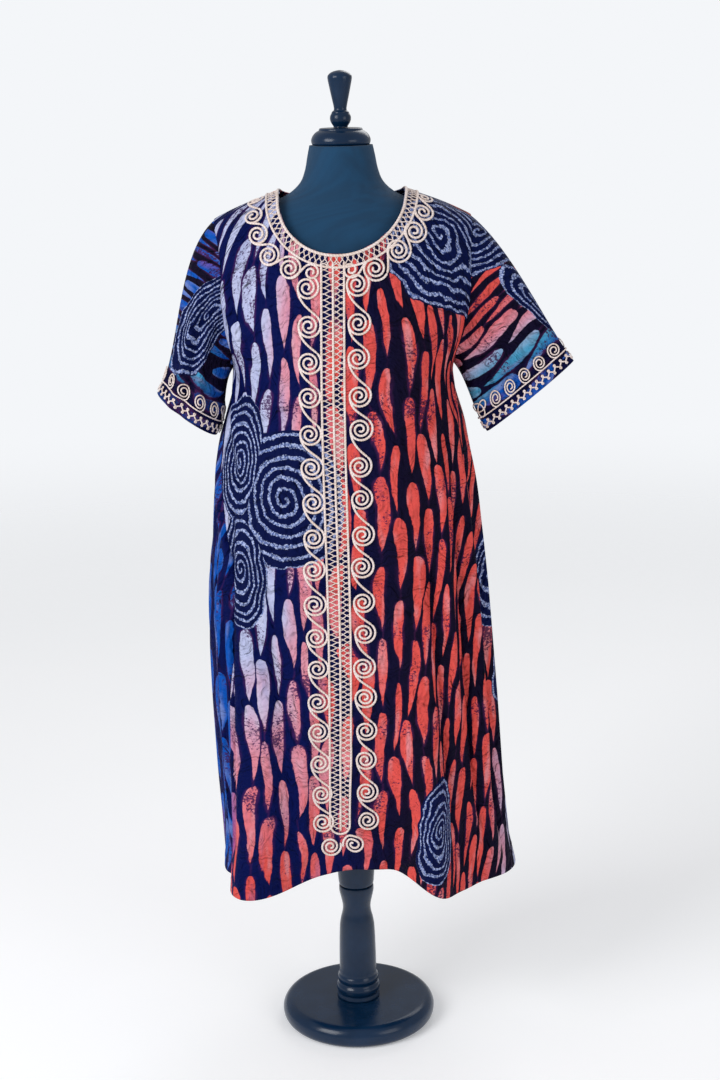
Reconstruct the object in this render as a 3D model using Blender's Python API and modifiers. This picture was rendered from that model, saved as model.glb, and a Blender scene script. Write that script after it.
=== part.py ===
"""Wax-print dress worn by a limbless dress form on a turned stand.

Metres, +Z up, the dress faces -Y. The origin is the middle of the stand's
underside. Left and right are the wearer's: the wearer's left is +X.
The cloth surface is one function of an angle round the body and a height.
Each cloth piece is an open sheet on that surface, given its wall by Solidify.
"""

import math

import bpy
import numpy as np

COLLECTION_NAME = "wax_print_dress_on_form"

CLOTH_WALL = 0.0015
TRIM_WALL = 0.0012
TRIM_LIFT = 0.0010
OUTWARD_DROP = 0.05
SEAM_GAP = 0.0004
PART_GAP = 0.0003

# Round the body, metres. Below the underarm, left and right are the cloth's
# half widths. Above it they are where the front and back sheets would meet.
SECTION_COLUMNS = ("height", "right", "left", "front", "back", "square")
DRESS_SECTIONS = (
    (0.285, 0.226, 0.276, 0.136, 0.150, 2.60),
    (0.370, 0.220, 0.258, 0.138, 0.148, 2.60),
    (0.480, 0.221, 0.243, 0.142, 0.146, 2.60),
    (0.620, 0.224, 0.231, 0.146, 0.143, 2.60),
    (0.760, 0.225, 0.221, 0.149, 0.140, 2.55),
    (0.900, 0.222, 0.211, 0.151, 0.134, 2.50),
    (0.980, 0.215, 0.205, 0.151, 0.126, 2.45),
    (1.060, 0.200, 0.192, 0.150, 0.118, 2.40),
    (1.160, 0.179, 0.173, 0.147, 0.111, 2.35),
    (1.215, 0.196, 0.195, 0.142, 0.110, 2.30),
    (1.270, 0.211, 0.214, 0.130, 0.107, 2.30),
    (1.330, 0.217, 0.221, 0.113, 0.104, 2.25),
    (1.370, 0.216, 0.219, 0.100, 0.100, 2.20),
    (1.394, 0.203, 0.203, 0.091, 0.096, 2.15),
    (1.404, 0.184, 0.184, 0.087, 0.093, 2.10),
    (1.418, 0.152, 0.152, 0.081, 0.089, 2.10),
    (1.431, 0.116, 0.116, 0.076, 0.085, 2.10),
    (1.440, 0.090, 0.090, 0.072, 0.082, 2.10),
)
UNDERARM_HEIGHT = 1.160
SHOULDER_TIP_HEIGHT = 1.394

# The armhole's edge: how far from the middle it is at each height.
ARMHOLE_COLUMNS = ("height", "right", "left")
ARMHOLE_EDGE = (
    (1.160, 0.179, 0.173),
    (1.180, 0.1800, 0.1755),
    (1.220, 0.188, 0.189),
    (1.270, 0.192, 0.197),
    (1.350, 0.194, 0.200),
    (1.394, 0.203, 0.203),
)

# The side seams, as angles from the middle of the front. The right one
# comes round to the front below the hip.
SEAM_COLUMNS = ("height", "right", "left")
SIDE_SEAMS = (
    (0.285, 60.0, 90.0),
    (0.600, 59.0, 90.0),
    (0.900, 60.0, 90.0),
    (1.060, 80.0, 90.0),
    (1.160, 90.0, 90.0),
)

# Largest folds. Angles in degrees from the middle of the front, at the hem
# and where the fold dies out; push is outwards at the hem, or inwards if < 0.
FOLD_COLUMNS = ("at_hem", "at_top", "top", "push", "width")
LARGEST_FOLDS = (
    (-47.0, -52.0, 1.000, 0.056, 15.0),
    (-66.0, -68.0, 1.020, -0.012, 7.0),
    (-8.0, -6.0, 0.760, -0.034, 26.0),
    (14.0, 18.0, 0.620, -0.016, 6.0),
    (27.0, 31.0, 0.800, 0.052, 8.0),
    (50.0, 48.0, 0.900, -0.010, 8.0),
    (118.0, 121.0, 0.900, 0.014, 11.0),
    (141.0, 140.0, 0.780, -0.012, 9.0),
    (160.0, 162.0, 0.950, 0.016, 10.0),
    (-170.0, -171.0, 0.700, -0.012, 9.0),
    (-148.0, -146.0, 0.880, 0.018, 11.0),
    (-119.0, -121.0, 0.760, -0.010, 10.0),
)
FOLD_RAMP_POWER = 1.3

# Height of the hem across a panel, from the right seam (-1) to the left (+1).
HEM_COLUMNS = ("across", "front", "back")
HEM_HEIGHTS = (
    (-1.00, 0.296, 0.300),
    (-0.60, 0.294, 0.296),
    (-0.25, 0.313, 0.294),
    (0.10, 0.323, 0.294),
    (0.22, 0.317, 0.295),
    (0.34, 0.292, 0.296),
    (0.70, 0.294, 0.298),
    (1.00, 0.291, 0.300),
)

NECK_HALF_WIDTH = 0.098
NECK_SHIFT = -0.009
NECK_POINT_HEIGHT = 1.437
FRONT_NECK_DROP = 0.090
BACK_NECK_DROP = 0.018
NECK_COLUMN = 0.44

PANEL_HALF_COLUMNS = 12
PANEL_NECK_COLUMNS = 6
SKIRT_ROWS = 17
YOKE_ROWS = 11
SLEEVE_ROWS = 8

# Each sleeve's open end: the middle of its hem, how far the hem rises
# outwards, and the half axes of its oval.
SLEEVES = {
    "sleeve_right": {
        "side": -1.0,
        "hem_middle": (-0.2575, -0.020, 1.0875),
        "hem_rise": math.radians(37.0),
        "half_wide": 0.0585,
        "half_deep": 0.0545,
    },
    "sleeve_left": {
        "side": 1.0,
        "hem_middle": (0.2965, -0.030, 1.106),
        "hem_rise": math.radians(38.9),
        "half_wide": 0.0895,
        "half_deep": 0.0200,
    },
}
SLEEVE_TOP_LEAVES = (0.20, -0.16)
SLEEVE_UNDER_LEAVES = (0.07, -0.07)
SLEEVE_TOP_ARRIVES = 0.20
SLEEVE_UNDER_ARRIVES = 0.10
ARMHOLE_EASE_TOP = 0.0006
ARMHOLE_EASE_SIDE = 0.0014
ARMHOLE_EASE_UNDER = 0.0045

# Couched cord trims: flat bands and scalloped strips of the cord's reach.
PLACKET_COLUMNS = ("height", "middle")
PLACKET_LINE = (
    (0.390, -0.0245),
    (0.720, -0.0180),
    (1.120, -0.0195),
    (1.330, -0.0160),
)
PLACKET_HALF_WIDTH = 0.019
PLACKET_SPAN = (0.392, 1.318)
SCROLL_WIDTH = 0.040
SCROLL_SPACE = 0.0015
SCROLL_SPAN = (0.380, 1.292)
TRIM_ROWS = 35
SCALLOP_DEPTH = 0.009
NECK_BAND_START = 0.0015
NECK_BAND_WIDTH = 0.0205
NECK_SCROLL_WIDTH = 0.034
NECK_SCROLL_ANGLES = (24.0, 74.0)
NECK_BAND_ANGLE = 76.0
NECK_STEPS = 20
SHOULDER_STEPS = 6
CUFF_TRIM_SPAN = (0.86, 0.985)

# The form: heights, half width, front, back and squareness of each section.
TORSO_COLUMNS = ("height", "half", "front", "back", "square")
TORSO_SECTIONS = (
    (0.735, 0.120, 0.078, 0.082, 2.2),
    (0.740, 0.143, 0.094, 0.098, 2.2),
    (0.752, 0.160, 0.104, 0.112, 2.2),
    (0.790, 0.168, 0.110, 0.118, 2.2),
    (0.850, 0.162, 0.108, 0.116, 2.2),
    (0.930, 0.142, 0.102, 0.098, 2.2),
    (1.010, 0.128, 0.100, 0.082, 2.2),
    (1.090, 0.138, 0.118, 0.086, 2.2),
    (1.160, 0.150, 0.134, 0.096, 2.2),
    (1.210, 0.158, 0.132, 0.100, 2.2),
    (1.270, 0.170, 0.118, 0.100, 2.2),
    (1.330, 0.180, 0.102, 0.098, 2.2),
    (1.365, 0.184, 0.091, 0.094, 2.15),
    (1.382, 0.180, 0.085, 0.091, 2.1),
    (1.394, 0.168, 0.081, 0.088, 2.1),
    (1.408, 0.140, 0.076, 0.084, 2.0),
    (1.422, 0.106, 0.071, 0.080, 2.0),
    (1.431, 0.087, 0.067, 0.077, 2.0),
    (1.440, 0.0745, 0.063, 0.073, 2.0),
    (1.450, 0.0655, 0.059, 0.067, 2.0),
    (1.468, 0.0580, 0.056, 0.060, 2.0),
    (1.490, 0.0535, 0.0545, 0.0555, 2.0),
    (1.5065, 0.0500, 0.052, 0.052, 2.0),
)
TORSO_ROWS = 32
TORSO_SEGMENTS = 32

# Turned profiles, radius and height, run down the outer side.
NECK_CAP_PROFILE = (
    (0.0000, 1.5330),
    (0.0325, 1.5330),
    (0.0342, 1.5315),
    (0.0345, 1.5290),
    (0.0385, 1.5275),
    (0.0430, 1.5235),
    (0.0462, 1.5180),
    (0.0472, 1.5135),
    (0.0460, 1.5085),
    (0.0440, 1.5068),
    (0.0000, 1.5068),
)
FINIAL_PROFILE = (
    (0.0000, 1.6210),
    (0.0080, 1.6200),
    (0.0145, 1.6172),
    (0.0170, 1.6150),
    (0.0193, 1.6120),
    (0.0190, 1.6070),
    (0.0172, 1.5980),
    (0.0143, 1.5840),
    (0.0112, 1.5700),
    (0.0096, 1.5615),
    (0.0110, 1.5590),
    (0.0136, 1.5575),
    (0.0136, 1.5558),
    (0.0158, 1.5525),
    (0.0168, 1.5480),
    (0.0160, 1.5430),
    (0.0135, 1.5385),
    (0.0108, 1.5350),
    (0.0120, 1.5333),
    (0.0000, 1.5333),
)
UPPER_POST_PROFILE = (
    (0.0000, 0.7347),
    (0.0170, 0.7347),
    (0.0170, 0.3900),
    (0.0185, 0.3800),
    (0.0240, 0.3600),
    (0.0300, 0.3300),
    (0.0325, 0.2980),
    (0.0318, 0.2700),
    (0.0304, 0.2520),
    (0.0290, 0.2483),
    (0.0000, 0.2483),
)
LOWER_POST_PROFILE = (
    (0.0000, 0.2480),
    (0.0290, 0.2480),
    (0.0302, 0.2440),
    (0.0300, 0.2360),
    (0.0272, 0.2240),
    (0.0246, 0.2120),
    (0.0240, 0.2050),
    (0.0250, 0.1960),
    (0.0280, 0.1850),
    (0.0302, 0.1720),
    (0.0312, 0.1500),
    (0.0320, 0.1150),
    (0.0322, 0.0820),
    (0.0332, 0.0790),
    (0.0352, 0.0760),
    (0.0358, 0.0715),
    (0.0345, 0.0675),
    (0.0336, 0.0650),
    (0.0345, 0.0622),
    (0.0374, 0.0590),
    (0.0382, 0.0540),
    (0.0372, 0.0485),
    (0.0350, 0.0455),
    (0.0362, 0.0420),
    (0.0380, 0.0363),
    (0.0000, 0.0363),
)
BASE_PROFILE = (
    (0.0000, 0.0360),
    (0.1155, 0.0360),
    (0.1200, 0.0352),
    (0.1255, 0.0325),
    (0.1300, 0.0275),
    (0.1325, 0.0220),
    (0.1330, 0.0170),
    (0.1320, 0.0100),
    (0.1295, 0.0045),
    (0.1250, 0.0010),
    (0.1225, 0.0000),
    (0.0000, 0.0000),
)
TURNED_STEPS = 26
BASE_STEPS = 48

COLOURS = {
    "print_cotton": ((0.13, 0.06, 0.16), 0.72),
    "couched_cord": ((0.70, 0.58, 0.45), 0.55),
    "form_jersey": ((0.012, 0.016, 0.026), 0.85),
    "black_lacquer": ((0.006, 0.008, 0.014), 0.14),
}


def read_table(columns, rows):
    """Turn rows with named columns into one array for each column."""
    return {name: np.array([row[i] for row in rows]) for i, name in enumerate(columns)}


def along(table, key, name, where):
    """Smooth curve through one column: cubics with the neighbours' slopes."""
    places = table[key]
    values = table[name]
    slopes = np.gradient(values, places)
    where = np.clip(where, places[0], places[-1])
    left = np.clip(np.searchsorted(places, where, side="right") - 1, 0, len(places) - 2)
    step = places[left + 1] - places[left]
    t = (where - places[left]) / step
    start = (1 + 2 * t) * (1 - t) ** 2 * values[left] + t * (1 - t) ** 2 * step * slopes[left]
    end = t ** 2 * (3 - 2 * t) * values[left + 1] - t ** 2 * (1 - t) * step * slopes[left + 1]
    return start + end


SECTIONS = read_table(SECTION_COLUMNS, DRESS_SECTIONS)
ARMHOLE = read_table(ARMHOLE_COLUMNS, ARMHOLE_EDGE)
SEAMS = read_table(SEAM_COLUMNS, SIDE_SEAMS)
FOLDS = read_table(FOLD_COLUMNS, LARGEST_FOLDS)
HEM = read_table(HEM_COLUMNS, HEM_HEIGHTS)
PLACKET = read_table(PLACKET_COLUMNS, PLACKET_LINE)
TORSO = read_table(TORSO_COLUMNS, TORSO_SECTIONS)


def by_side(table, x_sign, height):
    """A value that differs on the wearer's right (-X) and left (+X)."""
    right = along(table, "height", "right", height)
    left = along(table, "height", "left", height)
    return np.where(x_sign < 0, right, left)


def fold_push(angle, height):
    """How far the folds stand out: bell curves across, growing downwards."""
    push = np.zeros(np.broadcast(angle, height).shape)
    hem = SECTIONS["height"][0]
    for i in range(len(FOLDS["push"])):
        top = FOLDS["top"][i]
        fall = np.clip((top - height) / (top - hem), 0.0, 1.0)
        middle = FOLDS["at_top"][i] + (FOLDS["at_hem"][i] - FOLDS["at_top"][i]) * fall
        off = (np.degrees(angle) - middle + 180.0) % 360.0 - 180.0
        bell = np.exp(-((off / FOLDS["width"][i]) ** 2))
        push += FOLDS["push"][i] * fall ** FOLD_RAMP_POWER * bell
    return push


def dress_surface(angle, height):
    """Point of the cloth's inner face at an angle round the body and a height.

    Sine of the angle gives x; y follows a squared-off ellipse through the
    section's half width and depth; folds move it along the outward direction
    of that ellipse.
    """
    sine = np.sin(angle)
    faces_front = np.cos(angle) >= 0
    half = by_side(SECTIONS, sine, height)
    front = along(SECTIONS, "height", "front", height)
    back = along(SECTIONS, "height", "back", height)
    depth = np.where(faces_front, front, back)
    square = along(SECTIONS, "height", "square", height)
    across = np.clip(np.abs(sine), 0.0, 1.0)
    reach = depth * (1.0 - across ** square) ** (1.0 / square)
    x = half * sine
    y = np.where(faces_front, -reach, reach)
    out_x = np.sign(sine) * across ** (square - 1.0) / half
    out_y = np.sign(y) * np.abs(reach / depth) ** (square - 1.0) / depth
    length = np.hypot(out_x, out_y)
    move = fold_push(angle, height)
    return np.stack([x + move * out_x / length, y + move * out_y / length, height + 0.0 * x], -1)


def move_out(grid, distance):
    """A grid of points on the cloth, moved off its outer face by a distance."""
    across = np.gradient(grid, axis=1)
    up = np.gradient(grid, axis=0)
    out = np.cross(across, up)
    out /= np.linalg.norm(out, axis=-1, keepdims=True)
    middle = grid * np.array([0.0, 0.0, 1.0]) - np.array([0.0, 0.0, OUTWARD_DROP])
    facing = np.sign(np.sum(out * (grid - middle), axis=-1, keepdims=True))
    return grid + out * facing * (CLOTH_WALL + distance)


def angle_at(x, height, front=True):
    """Angle round the body of the point at x, on the front or the back."""
    half = by_side(SECTIONS, x, height)
    angle = np.arcsin(np.clip(x / half, -1.0, 1.0))
    return angle if front else math.pi - angle


def shoulder_height(x):
    """Height of the shoulder seam above a place across the body."""
    tip = np.searchsorted(SECTIONS["height"], SHOULDER_TIP_HEIGHT)
    heights = np.linspace(SECTIONS["height"][tip], SECTIONS["height"][-1], 60)
    reach = along(SECTIONS, "height", "left", heights)
    return np.interp(np.abs(x), reach[::-1], heights[::-1])


def neckline(turn, front):
    """Place across and height on the neckline, a half oval hung from the shoulders."""
    drop = FRONT_NECK_DROP if front else BACK_NECK_DROP
    x = NECK_HALF_WIDTH * np.sin(turn) + (NECK_SHIFT if front else 0.0) * np.cos(turn)
    return x, NECK_POINT_HEIGHT - drop * np.cos(turn)


def top_edge(across, front):
    """Place across and height of a panel's top edge: neckline, then shoulder seam."""
    size = np.abs(across)
    part = np.clip(size / NECK_COLUMN, 0.0, 1.0)
    turn = np.sign(across) * (1.0 - (1.0 - part) ** 2) * math.pi / 2
    neck_x, neck_z = neckline(turn, front)
    out = np.clip((size - NECK_COLUMN) / (1.0 - NECK_COLUMN), 0.0, 1.0)
    tip = np.interp(SHOULDER_TIP_HEIGHT, ARMHOLE["height"], ARMHOLE["left"])
    seam_x = np.sign(across) * (NECK_HALF_WIDTH + (tip - NECK_HALF_WIDTH) * out)
    on_seam = size > NECK_COLUMN - 1e-9
    return np.where(on_seam, seam_x, neck_x), np.where(on_seam, shoulder_height(seam_x), neck_z)


def panel_columns():
    """Places across a panel, with columns on both neck points and both seams."""
    neck = np.linspace(0.0, NECK_COLUMN, PANEL_NECK_COLUMNS + 1)
    rest = np.linspace(NECK_COLUMN, 1.0, PANEL_HALF_COLUMNS - PANEL_NECK_COLUMNS + 1)
    half = np.concatenate([neck, rest[1:]])
    return np.concatenate([-half[:0:-1], half])


def yoke_rows():
    """Shares of the way from underarm to top edge, close together at both ends."""
    return (1.0 - np.cos(np.linspace(0.0, math.pi, YOKE_ROWS + 1))) / 2.0


def yoke_points(across, share, front):
    """The panel above the underarm: straight columns, bowed to follow the armhole."""
    x_sign = np.where(across < 0, -1.0, 1.0)
    side = by_side(SECTIONS, x_sign, UNDERARM_HEIGHT + 0.0 * across)
    low_x = side * np.sin(across * math.pi / 2)
    top_x, top_z = top_edge(across, front)
    height = UNDERARM_HEIGHT + (top_z - UNDERARM_HEIGHT) * share
    tip_x, tip_z = top_edge(x_sign, front)
    edge_z = UNDERARM_HEIGHT + (tip_z - UNDERARM_HEIGHT) * share
    bow = x_sign * by_side(ARMHOLE, x_sign, edge_z) - (x_sign * side * (1 - share) + tip_x * share)
    x = low_x * (1 - share) + top_x * share + bow * np.abs(across) ** 3
    return dress_surface(angle_at(x, height, front), height)


def skirt_points(across, share, front):
    """The panel from the hem (share 0) to the underarm (share 1)."""
    hem = along(HEM, "across", "front" if front else "back", across)
    height = hem + (UNDERARM_HEIGHT - hem) * share
    seam = np.radians(by_side(SEAMS, across, height))
    angle = across * seam if front else math.pi - across * (math.pi - seam)
    return dress_surface(angle, height)


def panel_grid(front):
    """All points of the front or back panel, hem row first, clear of the seams."""
    across = panel_columns()[None, :]
    skirt = skirt_points(across, np.linspace(0.0, 1.0, SKIRT_ROWS + 1)[:-1, None], front)
    yoke = yoke_points(across, yoke_rows()[:, None], front)
    grid = np.concatenate([skirt, yoke])
    grid[..., 1] += -SEAM_GAP / 2 if front else SEAM_GAP / 2
    return grid


def armhole_loop(side):
    """The armhole's edge as a closed loop: up the front from the underarm, down the back."""
    front = yoke_points(np.full(YOKE_ROWS + 1, side), yoke_rows(), True)
    back = yoke_points(np.full(YOKE_ROWS + 1, side), yoke_rows(), False)
    return np.concatenate([front, back[-2:0:-1]])


def sleeve_grid(sleeve):
    """Cubic curves from the armhole to the sleeve's oval hem, one for each loop point."""
    side = sleeve["side"]
    loop = armhole_loop(side)
    count = len(loop)
    turn = 2 * math.pi * np.arange(count) / count
    top = (1 - np.cos(turn))[:, None] / 2
    under = 1 - top
    flank = np.abs(np.sin(turn))[:, None]
    ease = ARMHOLE_EASE_TOP * top + ARMHOLE_EASE_UNDER * under ** 2 + ARMHOLE_EASE_SIDE * flank
    start = loop + ease * np.array([side, 0.0, 0.0])
    rise = sleeve["hem_rise"]
    outward = np.array([side * math.cos(rise), 0.0, math.sin(rise)])
    down = np.array([side * math.sin(rise), 0.0, -math.cos(rise)])
    oval = -np.cos(turn)[:, None] * outward * sleeve["half_wide"]
    oval = oval - np.sin(turn)[:, None] * np.array([0.0, 1.0, 0.0]) * sleeve["half_deep"]
    end = np.array(sleeve["hem_middle"]) + oval
    leave_top = np.array([side * SLEEVE_TOP_LEAVES[0], 0.0, SLEEVE_TOP_LEAVES[1]])
    leave_under = np.array([side * SLEEVE_UNDER_LEAVES[0], 0.0, SLEEVE_UNDER_LEAVES[1]])
    leave = leave_top * top + leave_under * under
    arrive = down * (SLEEVE_TOP_ARRIVES * top + SLEEVE_UNDER_ARRIVES * under)
    t = np.linspace(0.0, 1.0, SLEEVE_ROWS + 1)[:, None, None]
    return (
        (1 + 2 * t) * (1 - t) ** 2 * start
        + t * (1 - t) ** 2 * leave
        + t ** 2 * (3 - 2 * t) * end
        - t ** 2 * (1 - t) * arrive
    )


def placket_middle(height):
    """Where the placket's middle line runs at a height."""
    return along(PLACKET, "height", "middle", height)


def placket_band_grid():
    """The flat band down the middle of the front."""
    heights = np.linspace(*PLACKET_SPAN, TRIM_ROWS)[:, None]
    x = placket_middle(heights) + np.linspace(-1, 1, 3)[None, :] * PLACKET_HALF_WIDTH
    return move_out(dress_surface(angle_at(x, heights), heights + 0.0 * x), TRIM_LIFT)


def placket_scroll_grid(side):
    """A strip beside the placket whose outer edge swells out at every second row."""
    heights = np.linspace(*SCROLL_SPAN, TRIM_ROWS)[:, None]
    in_dip = (np.arange(TRIM_ROWS) % 2 == 0)[:, None]
    width = np.where(in_dip, SCROLL_WIDTH - SCALLOP_DEPTH, SCROLL_WIDTH)
    inner = PLACKET_HALF_WIDTH + SCROLL_SPACE
    x = placket_middle(heights) + side * (inner + width * np.linspace(0, 1, 3)[None, :])
    x = x if side > 0 else x[:, ::-1]
    return move_out(dress_surface(angle_at(x, heights), heights + 0.0 * x), TRIM_LIFT)


def neck_strip_grid(front, turns, start, width, side=0.0):
    """A strip at a set distance outside the neckline, ending on the shoulder seams."""
    drop = FRONT_NECK_DROP if front else BACK_NECK_DROP
    x, z = neckline(turns, front)
    out_x = np.sin(turns) / NECK_HALF_WIDTH
    out_z = -np.cos(turns) / drop
    length = np.hypot(out_x, out_z)
    reach = start + width * np.linspace(0, 1, 3)
    x_all = x[:, None] + (out_x / length)[:, None] * reach
    z_all = z[:, None] + (out_z / length)[:, None] * reach
    seam_x = NECK_HALF_WIDTH + reach
    seam_z = shoulder_height(seam_x) - PART_GAP
    share = 1 - (1 - np.linspace(0, 1, SHOULDER_STEPS + 1)[1:, None]) ** 2
    if side <= 0:
        over_x = x_all[0] + (-seam_x - x_all[0]) * share
        over_z = z_all[0] + (seam_z - z_all[0]) * share
        x_all = np.vstack([over_x[::-1], x_all])
        z_all = np.vstack([over_z[::-1], z_all])
    if side >= 0:
        over_x = x_all[-1] + (seam_x - x_all[-1]) * share
        over_z = z_all[-1] + (seam_z - z_all[-1]) * share
        x_all = np.vstack([x_all, over_x])
        z_all = np.vstack([z_all, over_z])
    grid = dress_surface(angle_at(x_all, z_all, front), z_all)
    grid[..., 1] += -SEAM_GAP if front else SEAM_GAP
    return move_out(grid, TRIM_LIFT)


def cuff_trim_grid(sleeve):
    """A band round a sleeve just above its hem, moved out from the sleeve's rows."""
    grid = sleeve_grid(sleeve)
    rows = np.array(CUFF_TRIM_SPAN) * SLEEVE_ROWS
    low = np.minimum(rows.astype(int), SLEEVE_ROWS - 1)
    part = (rows - low)[:, None, None]
    band = grid[low] * (1 - part) + grid[low + 1] * part
    middle = band.mean(axis=1, keepdims=True)
    tangent = np.roll(band, -1, axis=1) - np.roll(band, 1, axis=1)
    down = np.broadcast_to(band[1:] - band[:1], band.shape)
    out = np.cross(tangent, down)
    out /= np.linalg.norm(out, axis=-1, keepdims=True)
    out *= np.sign(np.sum(out * (band - middle), axis=-1, keepdims=True))
    return band + out * (CLOTH_WALL + TRIM_LIFT + SEAM_GAP)


def make_material(name):
    """A plain Principled material of one of the named colours."""
    colour, roughness = COLOURS[name]
    material = bpy.data.materials.get(name) or bpy.data.materials.new(name)
    material.use_nodes = True
    shader = material.node_tree.nodes["Principled BSDF"]
    shader.inputs["Base Color"].default_value = (*colour, 1.0)
    shader.inputs["Roughness"].default_value = roughness
    shader.inputs["Metallic"].default_value = 0.0
    return material


def add_object(name, vertices, faces, material, collection):
    """Put a mesh in the part's collection as one named, smooth object."""
    mesh = bpy.data.meshes.new(name)
    mesh.from_pydata([tuple(v) for v in vertices], [], faces)
    mesh.update()
    mesh.shade_smooth()
    mesh.materials.append(make_material(material))
    made = bpy.data.objects.new(name, mesh)
    collection.objects.link(made)
    return made


def add_sheet(name, grid, wall, material, collection, closed=False, flip=False):
    """An open sheet from a grid of points, given its wall outwards by Solidify."""
    rows, columns = grid.shape[:2]
    faces = []
    for row in range(rows - 1):
        for column in range(columns if closed else columns - 1):
            after = (column + 1) % columns
            corners = (
                row * columns + column,
                row * columns + after,
                (row + 1) * columns + after,
                (row + 1) * columns + column,
            )
            faces.append(corners[::-1] if flip else corners)
    made = add_object(name, grid.reshape(-1, 3), faces, material, collection)
    solidify = made.modifiers.new("wall", "SOLIDIFY")
    solidify.thickness = wall
    solidify.offset = 1.0
    solidify.use_even_offset = False
    solidify.thickness_clamp = 0.0
    return made


def add_torso(collection):
    """The form's body: smooth oval sections, closed at the neck and underneath."""
    share = (1 - np.cos(np.linspace(0, math.pi, TORSO_ROWS + 1))) / 2
    low = TORSO["height"][0]
    high = TORSO["height"][-1]
    known = np.linspace(low, high, TORSO_ROWS + 1)
    heights = (0.5 * (low + (high - low) * share) + 0.5 * known)[:, None]
    turn = np.linspace(-math.pi, math.pi, TORSO_SEGMENTS, endpoint=False)[None, :]
    half = along(TORSO, "height", "half", heights)
    square = along(TORSO, "height", "square", heights)
    front = along(TORSO, "height", "front", heights)
    back = along(TORSO, "height", "back", heights)
    depth = np.where(np.cos(turn) >= 0, front, back)
    x = half * np.sign(np.sin(turn)) * np.abs(np.sin(turn)) ** (2 / square)
    y = -depth * np.sign(np.cos(turn)) * np.abs(np.cos(turn)) ** (2 / square)
    grid = np.stack([x, y, heights + 0.0 * x], -1)
    rows, columns = grid.shape[:2]
    faces = [tuple(range(columns))[::-1]]
    for row in range(rows - 1):
        for column in range(columns):
            after = (column + 1) % columns
            faces.append((
                row * columns + column,
                row * columns + after,
                (row + 1) * columns + after,
                (row + 1) * columns + column,
            ))
    faces.append(tuple((rows - 1) * columns + column for column in range(columns)))
    return add_object("form_torso", grid.reshape(-1, 3), faces, "form_jersey", collection)


def add_turned(name, profile, steps, collection):
    """A turned piece: its profile in the XZ plane, swept round Z by Screw."""
    vertices = [(radius, 0.0, height) for radius, height in profile]
    edges = [(i, i + 1) for i in range(len(profile) - 1)]
    mesh = bpy.data.meshes.new(name)
    mesh.from_pydata(vertices, edges, [])
    mesh.materials.append(make_material("black_lacquer"))
    made = bpy.data.objects.new(name, mesh)
    collection.objects.link(made)
    screw = made.modifiers.new("turn", "SCREW")
    screw.steps = steps
    screw.render_steps = steps
    screw.use_merge_vertices = True
    screw.merge_threshold = 0.00005
    screw.use_smooth_shade = True
    return made


def build_form(collection):
    """The limbless form and its stand."""
    add_turned("stand_base", BASE_PROFILE, BASE_STEPS, collection)
    add_turned("stand_post_lower", LOWER_POST_PROFILE, TURNED_STEPS, collection)
    add_turned("stand_post_upper", UPPER_POST_PROFILE, TURNED_STEPS, collection)
    add_torso(collection)
    add_turned("neck_cap", NECK_CAP_PROFILE, TURNED_STEPS, collection)
    add_turned("neck_finial", FINIAL_PROFILE, TURNED_STEPS, collection)


def build_cloth(collection):
    """The panels and the sleeves."""
    add_sheet("dress_front", panel_grid(True), CLOTH_WALL, "print_cotton", collection)
    add_sheet("dress_back", panel_grid(False), CLOTH_WALL, "print_cotton", collection, flip=True)
    for name, sleeve in SLEEVES.items():
        grid = sleeve_grid(sleeve)
        turned = sleeve["side"] < 0
        add_sheet(name, grid, CLOTH_WALL, "print_cotton", collection, closed=True, flip=turned)


def build_trims(collection):
    """The couched cord trims, as thin solids of their reach."""
    cord = "couched_cord"
    add_sheet("placket_band", placket_band_grid(), TRIM_WALL, cord, collection)
    for name, side in (("placket_scrolls_right", -1.0), ("placket_scrolls_left", 1.0)):
        add_sheet(name, placket_scroll_grid(side), TRIM_WALL, cord, collection)
    limit = math.radians(NECK_BAND_ANGLE)
    round_neck = np.linspace(-limit, limit, NECK_STEPS)
    band = neck_strip_grid(True, round_neck, NECK_BAND_START, NECK_BAND_WIDTH)
    add_sheet("neck_band_front", band, TRIM_WALL, cord, collection)
    band = neck_strip_grid(False, round_neck, NECK_BAND_START, NECK_BAND_WIDTH)
    add_sheet("neck_band_back", band, TRIM_WALL, cord, collection, flip=True)
    start = NECK_BAND_START + NECK_BAND_WIDTH + SCROLL_SPACE
    for name, side in (("neck_scrolls_right", -1.0), ("neck_scrolls_left", 1.0)):
        turns = np.radians(np.linspace(*NECK_SCROLL_ANGLES, NECK_STEPS // 2)) * side
        turns = turns if side > 0 else turns[::-1]
        strip = neck_strip_grid(True, turns, start, NECK_SCROLL_WIDTH, side)
        add_sheet(name, strip, TRIM_WALL, cord, collection)
    for name, sleeve in SLEEVES.items():
        trim_name = name.replace("sleeve", "cuff_trim")
        turned = sleeve["side"] < 0
        grid = cuff_trim_grid(sleeve)
        add_sheet(trim_name, grid, TRIM_WALL, cord, collection, closed=True, flip=turned)


def main():
    for old in list(bpy.data.objects):
        bpy.data.objects.remove(old, do_unlink=True)
    collection = bpy.data.collections.new(COLLECTION_NAME)
    bpy.context.scene.collection.children.link(collection)
    build_form(collection)
    build_cloth(collection)
    build_trims(collection)


main()
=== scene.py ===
"""Wax-print cotton dress with couched cord scrolls, on a limbless dress form and turned stand.

Metres, +Z up, the dress faces -Y, and the wearer's left is +X. The cloth is a
thin wall on one surface worked out from sections, folds and creases; the cords
are tubes laid on its outer face; the print, cords and lacquer are node materials.
"""

import math

import bpy
import numpy as np
from mathutils import Matrix


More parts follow.
